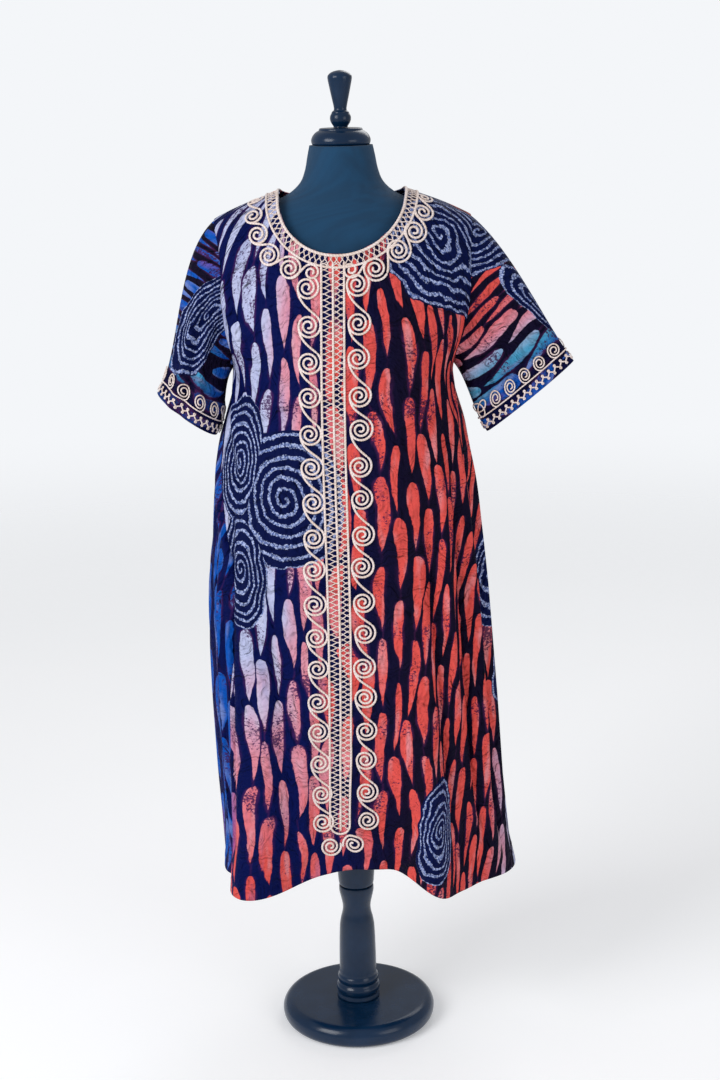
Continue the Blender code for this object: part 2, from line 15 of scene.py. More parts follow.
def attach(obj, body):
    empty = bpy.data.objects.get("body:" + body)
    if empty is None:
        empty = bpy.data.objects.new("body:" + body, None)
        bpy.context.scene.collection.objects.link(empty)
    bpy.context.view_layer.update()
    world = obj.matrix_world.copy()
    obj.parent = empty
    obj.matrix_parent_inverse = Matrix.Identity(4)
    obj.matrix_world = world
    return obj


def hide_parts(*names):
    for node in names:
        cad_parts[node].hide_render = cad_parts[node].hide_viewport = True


bl_info = {
    "name": "Wax-print dress on a dress form",
    "version": (1, 0, 0),
    "blender": (4, 5, 0),
    "location": "View3D > Sidebar > Dress",
    "description": "Builds a wax-print dress with couched cord scrolls on its form and stand",
    "category": "Add Mesh",
}

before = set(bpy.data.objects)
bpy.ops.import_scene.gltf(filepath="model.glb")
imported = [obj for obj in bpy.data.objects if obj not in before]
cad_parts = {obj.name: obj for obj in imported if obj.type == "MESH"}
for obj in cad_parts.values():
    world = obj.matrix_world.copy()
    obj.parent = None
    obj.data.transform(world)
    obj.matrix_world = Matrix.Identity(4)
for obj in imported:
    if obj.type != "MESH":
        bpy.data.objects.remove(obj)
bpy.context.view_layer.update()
BODY = "root"

# ------------------------------------------------------------------ sizes of the cloth

CLOTH_WALL = 0.0015
SECTION_COLUMNS = ("height", "right", "left", "front", "back", "square")
DRESS_SECTIONS = (
    (0.285, 0.226, 0.276, 0.136, 0.150, 2.60),
    (0.370, 0.220, 0.258, 0.138, 0.148, 2.60),
    (0.480, 0.221, 0.243, 0.142, 0.146, 2.60),
    (0.620, 0.224, 0.231, 0.146, 0.143, 2.60),
    (0.760, 0.225, 0.221, 0.149, 0.140, 2.55),
    (0.900, 0.222, 0.211, 0.151, 0.134, 2.50),
    (0.980, 0.215, 0.205, 0.151, 0.126, 2.45),
    (1.060, 0.200, 0.192, 0.150, 0.118, 2.40),
    (1.160, 0.179, 0.173, 0.147, 0.111, 2.35),
    (1.215, 0.196, 0.195, 0.142, 0.110, 2.30),
    (1.270, 0.211, 0.214, 0.130, 0.107, 2.30),
    (1.330, 0.217, 0.221, 0.113, 0.104, 2.25),
    (1.370, 0.216, 0.219, 0.100, 0.100, 2.20),
    (1.394, 0.203, 0.203, 0.091, 0.096, 2.15),
    (1.404, 0.184, 0.184, 0.087, 0.093, 2.10),
    (1.418, 0.152, 0.152, 0.081, 0.089, 2.10),
    (1.431, 0.116, 0.116, 0.076, 0.085, 2.10),
    (1.440, 0.090, 0.090, 0.072, 0.082, 2.10),
)
UNDERARM_HEIGHT = 1.160
SHOULDER_TIP_HEIGHT = 1.394
ARMHOLE_COLUMNS = ("height", "right", "left")
ARMHOLE_EDGE = (
    (1.160, 0.179, 0.173),
    (1.180, 0.1800, 0.1755),
    (1.220, 0.188, 0.189),
    (1.270, 0.192, 0.197),
    (1.350, 0.194, 0.200),
    (1.394, 0.203, 0.203),
)
SEAM_COLUMNS = ("height", "right", "left")
SIDE_SEAMS = (
    (0.285, 60.0, 90.0),
    (0.600, 59.0, 90.0),
    (0.900, 60.0, 90.0),
    (1.060, 80.0, 90.0),
    (1.160, 90.0, 90.0),
)
# Folds: degrees round the body at the hem and at the fold's top, the height of
# the top, how far it stands out at the hem, and its width in degrees.
LARGEST_FOLDS = (
    (-47.0, -52.0, 1.000, 0.056, 15.0),
    (-66.0, -68.0, 1.020, -0.012, 7.0),
    (-8.0, -6.0, 0.760, -0.034, 26.0),
    (14.0, 18.0, 0.620, -0.016, 6.0),
    (27.0, 31.0, 0.800, 0.052, 8.0),
    (50.0, 48.0, 0.900, -0.010, 8.0),
    (118.0, 121.0, 0.900, 0.014, 11.0),
    (141.0, 140.0, 0.780, -0.012, 9.0),
    (160.0, 162.0, 0.950, 0.016, 10.0),
    (-170.0, -171.0, 0.700, -0.012, 9.0),
    (-148.0, -146.0, 0.880, 0.018, 11.0),
    (-119.0, -121.0, 0.760, -0.010, 10.0),
)
FOLD_RAMP_POWER = 1.3
HEM_COLUMNS = ("across", "front", "back")
HEM_HEIGHTS = (
    (-1.00, 0.296, 0.300),
    (-0.60, 0.294, 0.296),
    (-0.25, 0.313, 0.294),
    (0.10, 0.323, 0.294),
    (0.22, 0.317, 0.295),
    (0.34, 0.292, 0.296),
    (0.70, 0.294, 0.298),
    (1.00, 0.291, 0.300),
)

# Smaller creases, each a straight trough (push < 0) or ridge between two places
# given as degrees round the body and height, then the push and the width. They die
# out towards both ends. From CREASE_DEEPER_FROM down to CREASE_DEEPER_TO the push
# grows, to 1 + CREASE_DEEPER times its size.
CREASE_RADIUS = 0.19
CREASE_DEEPER = 1.5
CREASE_DEEPER_FROM = 1.02
CREASE_DEEPER_TO = 0.80
CREASES = (
    (-86.0, 1.165, -50.0, 1.010, 0.0050, 0.010),
    (-80.0, 1.120, -44.0, 0.930, -0.0045, 0.009),
    (-88.0, 1.070, -58.0, 0.860, 0.0045, 0.010),
    (-58.0, 1.330, -52.0, 1.140, -0.0040, 0.009),
    (-66.0, 1.290, -47.0, 1.090, 0.0035, 0.007),
    (-57.0, 0.980, -55.0, 0.330, -0.0060, 0.008),
    (-34.0, 0.840, -30.0, 0.340, -0.0030, 0.010),
    (-20.0, 0.620, -24.0, 0.330, 0.0030, 0.009),
    (-2.0, 0.560, 1.0, 0.340, 0.0025, 0.008),
    (36.0, 0.980, 40.0, 0.330, -0.0050, 0.008),
    (45.0, 1.160, 48.0, 0.520, 0.0035, 0.007),
    (54.0, 1.090, 58.0, 0.310, -0.0060, 0.007),
    (62.0, 1.130, 65.0, 0.420, 0.0060, 0.007),
    (69.0, 1.060, 72.0, 0.310, -0.0060, 0.007),
    (77.0, 1.120, 79.0, 0.350, 0.0055, 0.007),
    (86.0, 1.020, 87.0, 0.310, -0.0050, 0.007),
    (60.0, 1.300, 50.0, 1.130, -0.0035, 0.008),
    (84.0, 1.150, 52.0, 1.020, 0.0035, 0.009),
    (24.0, 1.010, 44.0, 0.960, -0.0015, 0.010),
    (-66.0, 0.900, -70.0, 0.310, 0.0050, 0.007),
    (-78.0, 0.960, -80.0, 0.320, -0.0060, 0.008),
    (-90.0, 0.880, -93.0, 0.310, 0.0050, 0.008),
    (-104.0, 1.020, -106.0, 0.330, -0.0050, 0.010),
    (-133.0, 0.900, -131.0, 0.310, -0.0055, 0.011),
    (-158.0, 0.980, -160.0, 0.360, 0.0040, 0.012),
    (-179.0, 0.860, -181.0, 0.310, 0.0050, 0.012),
    (150.0, 0.900, 151.0, 0.320, -0.0050, 0.010),
    (131.0, 1.000, 129.0, 0.310, 0.0050, 0.009),
    (106.0, 1.050, 107.0, 0.320, -0.0050, 0.008),
    (97.0, 0.900, 96.0, 0.320, 0.0045, 0.007),
    (-96.0, 1.150, -132.0, 1.010, 0.0045, 0.010),
    (96.0, 1.150, 130.0, 1.020, 0.0045, 0.010),
    (-122.0, 1.300, -134.0, 1.120, -0.0035, 0.009),
    (122.0, 1.290, 136.0, 1.110, 0.0035, 0.009),
    (165.0, 1.060, 196.0, 1.050, -0.0030, 0.012),
)

NECK_HALF_WIDTH = 0.098
NECK_SHIFT = -0.009
NECK_POINT_HEIGHT = 1.437
FRONT_NECK_DROP = 0.090
BACK_NECK_DROP = 0.018
NECK_COLUMN = 0.44

PANEL_HALF_COLUMNS = 78
PANEL_NECK_COLUMNS = 34
SKIRT_ROWS = 205
YOKE_ROWS = 74
SLEEVE_ROWS = 110
HEM_TURN_UP = 0.016
HEM_GROOVE = 0.0006
HEM_GROOVE_WIDTH = 0.0022

SLEEVES = {
    "right": {
        "side": -1.0,
        "hem_middle": (-0.2575, -0.020, 1.0875),
        "hem_rise": math.radians(37.0),
        "half_wide": 0.0585,
        "half_deep": 0.0545,
    },
    "left": {
        "side": 1.0,
        "hem_middle": (0.2965, -0.030, 1.106),
        "hem_rise": math.radians(38.9),
        "half_wide": 0.0895,
        "half_deep": 0.0200,
    },
}
SLEEVE_TOP_LEAVES = (0.20, -0.16)
SLEEVE_UNDER_LEAVES = (0.07, -0.07)
SLEEVE_TOP_ARRIVES = 0.20
SLEEVE_UNDER_ARRIVES = 0.10
SLEEVE_CREASES_START = 0.12

# Creases of a sleeve between places given as degrees round it (0 underarm,
# 90 front, 180 top) and share of the way from armhole to hem, then push and width.
SLEEVE_CREASES = {
    "right": (
        (128.0, 0.05, 118.0, 1.10, 0.0070, 0.011),
        (108.0, 0.10, 100.0, 1.10, -0.0060, 0.010),
        (84.0, 0.15, 78.0, 1.00, 0.0040, 0.010),
        (60.0, 0.00, 70.0, 0.75, -0.0040, 0.009),
        (152.0, 0.20, 148.0, 1.00, -0.0030, 0.010),
        (235.0, 0.05, 245.0, 1.05, -0.0050, 0.011),
        (268.0, 0.10, 275.0, 1.00, 0.0050, 0.011),
        (305.0, 0.00, 298.0, 0.90, -0.0040, 0.010),
    ),
    "left": (
        (140.0, 0.10, 134.0, 0.95, -0.0030, 0.010),
        (110.0, 0.00, 100.0, 0.70, 0.0040, 0.010),
        (80.0, 0.00, 88.0, 0.90, -0.0035, 0.009),
        (52.0, 0.00, 64.0, 0.80, 0.0040, 0.009),
        (228.0, 0.05, 232.0, 0.95, -0.0035, 0.011),
        (262.0, 0.05, 258.0, 0.90, 0.0040, 0.011),
        (300.0, 0.00, 292.0, 0.80, -0.0035, 0.010),
    ),
}

# ------------------------------------------------------------------ sizes of the cords

PLACKET_COLUMNS = ("height", "middle")
PLACKET_LINE = (
    (0.390, -0.0245),
    (0.720, -0.0180),
    (1.120, -0.0195),
    (1.330, -0.0160),
)
PLACKET_CORDS = (-0.0185, -0.0005, 0.0165)
PLACKET_TOP = 1.335
PLACKET_END = 0.391
PLACKET_MARGIN = 0.008
PLACKET_CENTRE_END = 0.006
PLACKET_CURLS = (0.0016, 0.0027)
CORD_LIFT = 0.8
# A cord is laid on the cloth that is this near it, so many of its points at once.
CLOTH_REACH = 0.02
LAY_AT_ONCE = 400
LEAST_GAP = 1e-7
CORD_END_SWELL = 0.55
SCROLL_CORE = 0.0026
SCROLL_TOP = 1.296
SCROLL_BOTTOM = 0.412
SCROLL_COUNT = 17
# Scroll columns: side, place across, how fast they wander, how much higher they
# stand, then the place and the starting angle of the scroll that ends the column.
SCROLL_COLUMNS = (
    (-1.0, -0.0570, 1.3, 0.0, (-0.043, 0.368), 20.0),
    (1.0, 0.0195, 2.1, 0.004, (-0.003, 0.373), 200.0),
)
SCROLL_WANDER_ACROSS = 0.0012
SCROLL_WANDER_UP = 0.0016
SCROLL_RADIUS_VARIES = 0.035
END_SCROLL_RADIUS = 0.0185
# Degrees from a scroll's heading to where its cord enters, and pulls of the arms.
SCROLL_STAGGER = 140.0
ARM_LEAVES = 0.021
ARM_ARRIVES = 0.017
NECK_ARM_PULL = 0.013
NECK_BAND_START = 0.0015
NECK_BAND_WIDTH = 0.0205
NECK_BAND_TURN = math.radians(76.0)
NECK_BAND_ROWS = 180
NECK_BAND_MARGIN = 0.003
NECK_BAND_CURL = 0.0025
NECK_BAND_POINTS = 260
# Grid columns from the band's two edges to its straight cords, how much wider the
# first cord is, and the share of the band that the looped cord reaches each way.
NECK_BAND_INNER = 0.5
NECK_BAND_OUTER = 1.6
NECK_BAND_WIDER = 1.25
NECK_BAND_REACH = 0.33
NECK_INSIDE = (0.0, 0.0, 1.30)
# Neck scrolls on each side: place across, height and radius, from the front up.
NECK_SCROLLS = {
    -1.0: (
        (-0.050, 1.320, 0.013),
        (-0.083, 1.326, 0.019),
        (-0.115, 1.345, 0.018),
        (-0.132, 1.376, 0.017),
        (-0.139, 1.402, 0.016),
        (-0.137, 1.422, 0.015),
    ),
    1.0: (
        (0.011, 1.323, 0.013),
        (0.048, 1.324, 0.020),
        (0.084, 1.350, 0.020),
        (0.110, 1.377, 0.019),
        (0.124, 1.404, 0.017),
        (0.127, 1.423, 0.015),
    ),
}
CUFF_LINE = 0.025
CUFF_SCROLL_HEIGHT = 0.0365
CUFF_SCROLL_SPACING = 0.0315
CUFF_SCROLL_RADIUS = 0.0118
CUFF_MEANDER_HEIGHT = 0.0125
CUFF_MEANDER_SWING = 0.0062
CUFF_MEANDER_PERIOD = 0.0125
CUFF_MEANDER_CURL = 0.0030
CUFF_SCROLL_TURNS = 2.7
CUFF_SCROLL_SHIFT = 0.35
CUFF_KNOT_SIZE = 0.0040
CUFF_ROWS = 22
CUFF_ROUND = 0.999

# ------------------------------------------------------------------ sizes of the form

TORSO_COLUMNS = ("height", "half", "front", "back", "square")
TORSO_SECTIONS = (
    (0.735, 0.120, 0.078, 0.082, 2.2),
    (0.740, 0.143, 0.094, 0.098, 2.2),
    (0.752, 0.160, 0.104, 0.112, 2.2),
    (0.790, 0.168, 0.110, 0.118, 2.2),
    (0.850, 0.162, 0.108, 0.116, 2.2),
    (0.930, 0.142, 0.102, 0.098, 2.2),
    (1.010, 0.128, 0.100, 0.082, 2.2),
    (1.090, 0.138, 0.118, 0.086, 2.2),
    (1.160, 0.150, 0.134, 0.096, 2.2),
    (1.210, 0.158, 0.132, 0.100, 2.2),
    (1.270, 0.170, 0.118, 0.100, 2.2),
    (1.330, 0.180, 0.102, 0.098, 2.2),
    (1.365, 0.184, 0.091, 0.094, 2.15),
    (1.382, 0.180, 0.085, 0.091, 2.1),
    (1.394, 0.168, 0.081, 0.088, 2.1),
    (1.408, 0.140, 0.076, 0.084, 2.0),
    (1.422, 0.106, 0.071, 0.080, 2.0),
    (1.431, 0.087, 0.067, 0.077, 2.0),
    (1.440, 0.0745, 0.063, 0.073, 2.0),
    (1.450, 0.0655, 0.059, 0.067, 2.0),
    (1.468, 0.0580, 0.056, 0.060, 2.0),
    (1.490, 0.0535, 0.0545, 0.0555, 2.0),
    (1.5065, 0.0500, 0.052, 0.052, 2.0),
)
TORSO_ROWS = 150
TORSO_SEGMENTS = 112
TORSO_CAP_INSET = 0.96
TURNED_STEPS = 96
TURNED_EDGE = 0.0022
TURNED_EDGE_SHARE = 0.28
JERSEY_RIB = 0.0011
JERSEY_COURSE = 0.0009
TURNING_MARKS = 0.0016
TURNED_PROFILES = {
    "neck_cap": (
        (0.0000, 1.5330), (0.0325, 1.5330), (0.0342, 1.5315), (0.0345, 1.5290),
        (0.0385, 1.5275), (0.0430, 1.5235), (0.0462, 1.5180), (0.0472, 1.5135),
        (0.0460, 1.5085), (0.0440, 1.5068), (0.0000, 1.5068),
    ),
    "neck_finial": (
        (0.0000, 1.6210), (0.0080, 1.6200), (0.0145, 1.6172), (0.0170, 1.6150),
        (0.0193, 1.6120), (0.0190, 1.6070), (0.0172, 1.5980), (0.0143, 1.5840),
        (0.0112, 1.5700), (0.0096, 1.5615), (0.0110, 1.5590), (0.0136, 1.5575),
        (0.0136, 1.5558), (0.0158, 1.5525), (0.0168, 1.5480), (0.0160, 1.5430),
        (0.0135, 1.5385), (0.0108, 1.5350), (0.0120, 1.5333), (0.0000, 1.5333),
    ),
    "stand_post_upper": (
        (0.0000, 0.7347), (0.0170, 0.7347), (0.0170, 0.3900), (0.0185, 0.3800),
        (0.0240, 0.3600), (0.0300, 0.3300), (0.0325, 0.2980), (0.0318, 0.2700),
        (0.0304, 0.2520), (0.0290, 0.2483), (0.0000, 0.2483),
    ),
    "stand_post_lower": (
        (0.0000, 0.2480), (0.0290, 0.2480), (0.0302, 0.2440), (0.0300, 0.2360),
        (0.0272, 0.2240), (0.0246, 0.2120), (0.0240, 0.2050), (0.0250, 0.1960),
        (0.0280, 0.1850), (0.0302, 0.1720), (0.0312, 0.1500), (0.0320, 0.1150),
        (0.0322, 0.0820), (0.0332, 0.0790), (0.0352, 0.0760), (0.0358, 0.0715),
        (0.0345, 0.0675), (0.0336, 0.0650), (0.0345, 0.0622), (0.0374, 0.0590),
        (0.0382, 0.0540), (0.0372, 0.0485), (0.0350, 0.0455), (0.0362, 0.0420),
        (0.0380, 0.0363), (0.0000, 0.0363),
    ),
    "stand_base": (
        (0.0000, 0.0360), (0.1155, 0.0360), (0.1200, 0.0352), (0.1255, 0.0325),
        (0.1300, 0.0275), (0.1325, 0.0220), (0.1330, 0.0170), (0.1320, 0.0100),
        (0.1295, 0.0045), (0.1250, 0.0010), (0.1225, 0.0000), (0.0000, 0.0000),
    ),
}

# ------------------------------------------------------------------ the print

# Zones of dye, painted over each other in order: the dye, its left, right, low and
# high edges in the cloth's own metres (across from the middle, up from the floor;
# on a sleeve, up from its hem and round from the underarm), and how soft they are.
FAR = 9.0
FRONT_ZONES = (
    ("lavender", -FAR, FAR, -FAR, FAR, 0.05),
    ("pink", -0.105, FAR, -FAR, FAR, 0.030),
    ("coral", -0.040, FAR, -FAR, FAR, 0.030),
    ("pink", -FAR, -0.040, -FAR, 0.60, 0.110),
    ("coral", -FAR, -0.040, -FAR, 0.42, 0.080),
    ("cobalt", -FAR, -0.245, 0.30, 0.97, 0.020),
    ("lavender", 0.325, FAR, 0.25, 0.52, 0.040),
)
BACK_ZONES = (
    ("coral", -FAR, FAR, -FAR, FAR, 0.05),
    ("pink", -0.090, 0.090, 0.60, FAR, 0.060),
    ("lavender", -0.060, 0.200, 0.80, FAR, 0.060),
    ("lavender", 0.060, FAR, -FAR, 0.62, 0.080),
    ("pink", -0.260, -0.100, -FAR, 0.60, 0.060),
    ("cobalt", -FAR, -0.215, 0.25, FAR, 0.030),
    ("coral", -0.300, -0.245, 0.25, 0.72, 0.020),
    ("cobalt", 0.225, FAR, 0.70, FAR, 0.040),
)
SLEEVE_ZONES = {
    "left": (
        ("coral", -FAR, FAR, -FAR, FAR, 0.05),
        ("pink", -FAR, 0.150, -FAR, FAR, 0.030),
        ("lavender", -FAR, 0.105, -FAR, FAR, 0.030),
        ("turquoise", -FAR, 0.085, -FAR, FAR, 0.022),
        ("cobalt", -FAR, 0.048, -FAR, FAR, 0.018),
    ),
    "right": (
        ("cobalt", -FAR, FAR, -FAR, FAR, 0.05),
        ("turquoise", -FAR, 0.120, 0.080, 0.190, 0.040),
        ("deep_blue", -FAR, 0.060, -FAR, FAR, 0.030),
    ),
}
# How far a zone's edges wander, as a multiple of how soft they are.
ZONE_WANDER = 3.4
# The columns of cells stand closer together beyond a place across the cloth.
CLOSER_FROM = 0.135
CLOSER_RATE = 0.55
# Cloth of the front lies before this y.
FRONT_LIMIT = -0.02
# Ringed medallions: x and z on the piece, half sizes, rings, and how ragged.
FRONT_MEDALLIONS = (
    (-0.170, 1.026, 0.050, 0.105, 7.0, 0.05),
    (-0.174, 0.852, 0.044, 0.098, 6.5, 0.06),
    (-0.099, 0.968, 0.092, 0.112, 6.5, 0.04),
    (0.150, 1.370, 0.116, 0.120, 8.0, 0.06),
    (0.214, 0.826, 0.052, 0.100, 5.5, 0.08),
    (0.226, 0.640, 0.030, 0.060, 4.0, 0.08),
    (0.138, 0.405, 0.043, 0.090, 5.5, 0.10),
)
BACK_MEDALLIONS = (
    (0.160, 1.375, 0.115, 0.085, 6.5, 0.06),
    (0.030, 1.190, 0.100, 0.115, 7.5, 0.05),
    (-0.120, 0.880, 0.075, 0.120, 7.0, 0.06),
    (0.130, 0.700, 0.090, 0.085, 6.0, 0.06),
    (-0.040, 0.450, 0.060, 0.095, 5.5, 0.09),
)
SLEEVE_MEDALLIONS = {
    "left": (
        (0.214, 1.372, 0.070, 0.100, 6.0, 0.06),
        (0.303, 1.262, 0.080, 0.030, 3.5, 0.10),
    ),
    "right": (
        (-0.216, 1.250, 0.120, 0.048, 7.0, 0.07),
    ),
}

CORD_MATERIAL = "cord_thread"

# Softboxes: name, place, size, and the stage setting that holds their power.
SOFTBOXES = (
    ("key_light", (-2.5, -2.1, 2.6), 1.9, "key"),
    ("fill_light", (2.3, -2.2, 1.7), 1.6, "fill"),
    ("rim_light", (0.9, 2.2, 2.7), 1.5, "rim"),
)
SOFTBOXES_FACE = (0.0, 0.0, 0.85)
FLOOR_RADIUS = 9.0
FLOOR_DROP = 0.0004
FLOOR_GONE = 5.5
FLOOR_SOLID = 1.3


def from_screen(red, green, blue):
    """A colour given as 0 to 255 screen values, as linear light."""
    shares = np.array([red, green, blue]) / 255.0
    return tuple(np.where(shares <= 0.04045, shares / 12.92, ((shares + 0.055) / 1.055) ** 2.4))


DYES = {
    "navy": from_screen(2, 14, 74),
    "plum_navy": from_screen(14, 8, 34),
    "plum": from_screen(92, 38, 92),
    "lavender": from_screen(184, 190, 226),
    "pale": from_screen(222, 224, 242),
    "pink": from_screen(222, 134, 150),
    "coral": from_screen(226, 84, 78),
    "rust": from_screen(186, 66, 70),
    "cobalt": from_screen(6, 82, 178),
    "deep_blue": from_screen(10, 50, 118),
    "turquoise": from_screen(66, 150, 190),
    "ring_light": from_screen(180, 192, 230),
    "ring_mid": from_screen(94, 114, 174),
    "ring_ground": from_screen(4, 16, 66),
}


# ------------------------------------------------------------------ surfaces

def read_table(columns, rows):
    """Turn rows with named columns into one array for each column."""
    return {name: np.array([row[i] for row in rows]) for i, name in enumerate(columns)}


def along(table, key, name, where):
    """Smooth curve through one column: cubics with the neighbours' slopes."""
    places = table[key]
    values = table[name]
    slopes = np.gradient(values, places)
    where = np.clip(where, places[0], places[-1])
    left = np.clip(np.searchsorted(places, where, side="right") - 1, 0, len(places) - 2)
    step = places[left + 1] - places[left]
    t = (where - places[left]) / step
    start = (1 + 2 * t) * (1 - t) ** 2 * values[left] + t * (1 - t) ** 2 * step * slopes[left]
    end = t ** 2 * (3 - 2 * t) * values[left + 1] - t ** 2 * (1 - t) * step * slopes[left + 1]
    return start + end


SECTIONS = read_table(SECTION_COLUMNS, DRESS_SECTIONS)
ARMHOLE = read_table(ARMHOLE_COLUMNS, ARMHOLE_EDGE)
SEAMS = read_table(SEAM_COLUMNS, SIDE_SEAMS)
HEM = read_table(HEM_COLUMNS, HEM_HEIGHTS)
PLACKET = read_table(PLACKET_COLUMNS, PLACKET_LINE)
TORSO = read_table(TORSO_COLUMNS, TORSO_SECTIONS)


def by_side(table, x_sign, height):
    """A value that differs on the wearer's right (-X) and left (+X)."""
    right = along(table, "height", "right", height)
    left = along(table, "height", "left", height)
    return np.where(x_sign < 0, right, left)


def fold_push(angle, height):
    """How far the largest folds stand out: bell curves across, growing downwards."""
    push = np.zeros(np.broadcast(angle, height).shape)
    hem = SECTIONS["height"][0]
    for at_hem, at_top, top, reach, width in LARGEST_FOLDS:
        fall = np.clip((top - height) / (top - hem), 0.0, 1.0)
        middle = at_top + (at_hem - at_top) * fall
        off = (np.degrees(angle) - middle + 180.0) % 360.0 - 180.0
        push += reach * fall ** FOLD_RAMP_POWER * np.exp(-((off / width) ** 2))
    return push


def ridge(across, up, start, end, push, width):
    """A bell across a straight line from start to end, dying out at both ends."""
    run = (end[0] - start[0], end[1] - start[1])
    size = run[0] ** 2 + run[1] ** 2
    share = np.clip(((across - start[0]) * run[0] + (up - start[1]) * run[1]) / size, 0.0, 1.0)
    off = np.hypot(across - start[0] - share * run[0], up - start[1] - share * run[1])
    return push * np.exp(-((off / width) ** 2)) * (1.0 - (2.0 * share - 1.0) ** 4)


def crease_push(angle, height):
    """How far the smaller creases move the cloth out, in metres."""
    push = np.zeros(np.broadcast(angle, height).shape)
    for angle_a, height_a, angle_b, height_b, reach, width in CREASES:
        off = (np.degrees(angle) - angle_a + 180.0) % 360.0 - 180.0
        across = np.radians(off) * CREASE_RADIUS
        end = (math.radians(angle_b - angle_a) * CREASE_RADIUS, height_b)
        push += ridge(across, height + 0.0 * across, (0.0, height_a), end, reach, width)
    span = CREASE_DEEPER_FROM - CREASE_DEEPER_TO
    lower = np.clip((CREASE_DEEPER_FROM - height) / span, 0.0, 1.0)
    return push * (1.0 + CREASE_DEEPER * lower)


def dress_surface(angle, height):
    """Point of the cloth's inner face at an angle round the body and a height.

    Sine of the angle gives x; y follows a squared-off ellipse through the
    section's half width and depth; folds and creases move it along the outward
    direction of that ellipse.
    """
    sine = np.sin(angle)
    faces_front = np.cos(angle) >= 0
    half = by_side(SECTIONS, sine, height)
    front = along(SECTIONS, "height", "front", height)
    back = along(SECTIONS, "height", "back", height)
    depth = np.where(faces_front, front, back)
    square = along(SECTIONS, "height", "square", height)
    across = np.clip(np.abs(sine), 0.0, 1.0)
    reach = depth * (1.0 - across ** square) ** (1.0 / square)
    x = half * sine
    y = np.where(faces_front, -reach, reach)
    out_x = np.sign(sine) * across ** (square - 1.0) / half
    out_y = np.sign(y) * np.abs(reach / depth) ** (square - 1.0) / depth
    length = np.hypot(out_x, out_y)
    move = fold_push(angle, height) + crease_push(angle, height)
    return np.stack([x + move * out_x / length, y + move * out_y / length, height + 0.0 * x], -1)


def angle_at(x, height, front=True):
    """Angle round the body of the point at x, on the front or the back."""
    half = by_side(SECTIONS, x, height)
    angle = np.arcsin(np.clip(x / half, -1.0, 1.0))
    return angle if front else math.pi - angle


def shoulder_height(x):
    """Height of the shoulder seam above a place across the body."""
    tip = np.searchsorted(SECTIONS["height"], SHOULDER_TIP_HEIGHT)
    heights = np.linspace(SECTIONS["height"][tip], SECTIONS["height"][-1], 60)
    reach = along(SECTIONS, "height", "left", heights)
    return np.interp(np.abs(x), reach[::-1], heights[::-1])


def neckline(turn, front):
    """Place across and height on the neckline, a half oval hung from the shoulders."""
    drop = FRONT_NECK_DROP if front else BACK_NECK_DROP
    x = NECK_HALF_WIDTH * np.sin(turn) + (NECK_SHIFT if front else 0.0) * np.cos(turn)
    return x, NECK_POINT_HEIGHT - drop * np.cos(turn)


def top_edge(across, front):
    """Place across and height of a panel's top edge: neckline, then shoulder seam."""
    size = np.abs(across)
    part = np.clip(size / NECK_COLUMN, 0.0, 1.0)
    turn = np.sign(across) * (1.0 - (1.0 - part) ** 2) * math.pi / 2
    neck_x, neck_z = neckline(turn, front)
    out = np.clip((size - NECK_COLUMN) / (1.0 - NECK_COLUMN), 0.0, 1.0)
    tip = np.interp(SHOULDER_TIP_HEIGHT, ARMHOLE["height"], ARMHOLE["left"])
    seam_x = np.sign(across) * (NECK_HALF_WIDTH + (tip - NECK_HALF_WIDTH) * out)
    on_seam = size > NECK_COLUMN - 1e-9
    return np.where(on_seam, seam_x, neck_x), np.where(on_seam, shoulder_height(seam_x), neck_z)


def panel_columns():
    """Places across a panel, with columns on both neck points and both seams."""
    neck = np.linspace(0.0, NECK_COLUMN, PANEL_NECK_COLUMNS + 1)
    rest = np.linspace(NECK_COLUMN, 1.0, PANEL_HALF_COLUMNS - PANEL_NECK_COLUMNS + 1)
    half = np.concatenate([neck, rest[1:]])
    return np.concatenate([-half[:0:-1], half])


def yoke_points(across, share, front):
    """The panel above the underarm: straight columns, bowed to follow the armhole."""
    x_sign = np.where(across < 0, -1.0, 1.0)
    side = by_side(SECTIONS, x_sign, UNDERARM_HEIGHT + 0.0 * across)
    low_x = side * np.sin(across * math.pi / 2)
    top_x, top_z = top_edge(across, front)
    height = UNDERARM_HEIGHT + (top_z - UNDERARM_HEIGHT) * share
    tip_x, tip_z = top_edge(x_sign, front)
    edge_z = UNDERARM_HEIGHT + (tip_z - UNDERARM_HEIGHT) * share
    bow = x_sign * by_side(ARMHOLE, x_sign, edge_z) - (x_sign * side * (1 - share) + tip_x * share)
    x = low_x * (1 - share) + top_x * share + bow * np.abs(across) ** 3
    return dress_surface(angle_at(x, height, front), height)


def skirt_points(across, share, front):
    """The panel from the hem (share 0) to the underarm (share 1)."""
    hem = along(HEM, "across", "front" if front else "back", across)
    height = hem + (UNDERARM_HEIGHT - hem) * share
    seam = np.radians(by_side(SEAMS, across, height))
    angle = across * seam if front else math.pi - across * (math.pi - seam)
    return dress_surface(angle, height)


def unit(vectors):
    """Vectors scaled to a length of one."""
    return vectors / np.maximum(np.linalg.norm(vectors, axis=-1, keepdims=True), 1e-12)


def normals_of(grid, closed=False):
    """Unit normals of a grid of points, from the cross product of its two directions."""
    if closed:
        across = np.roll(grid, -1, axis=1) - np.roll(grid, 1, axis=1)
    else:
        across = np.gradient(grid, axis=1)
    return unit(np.cross(across, np.gradient(grid, axis=0)))


def facing(normals, arrows):
    """Normals turned over where they point against their arrows."""
    return normals * np.sign(np.sum(normals * arrows, -1, keepdims=True))


def wrap(grid):
    """A grid closed on itself, with its first column again after its last."""
    return np.concatenate([grid, grid[:, :1]], axis=1)


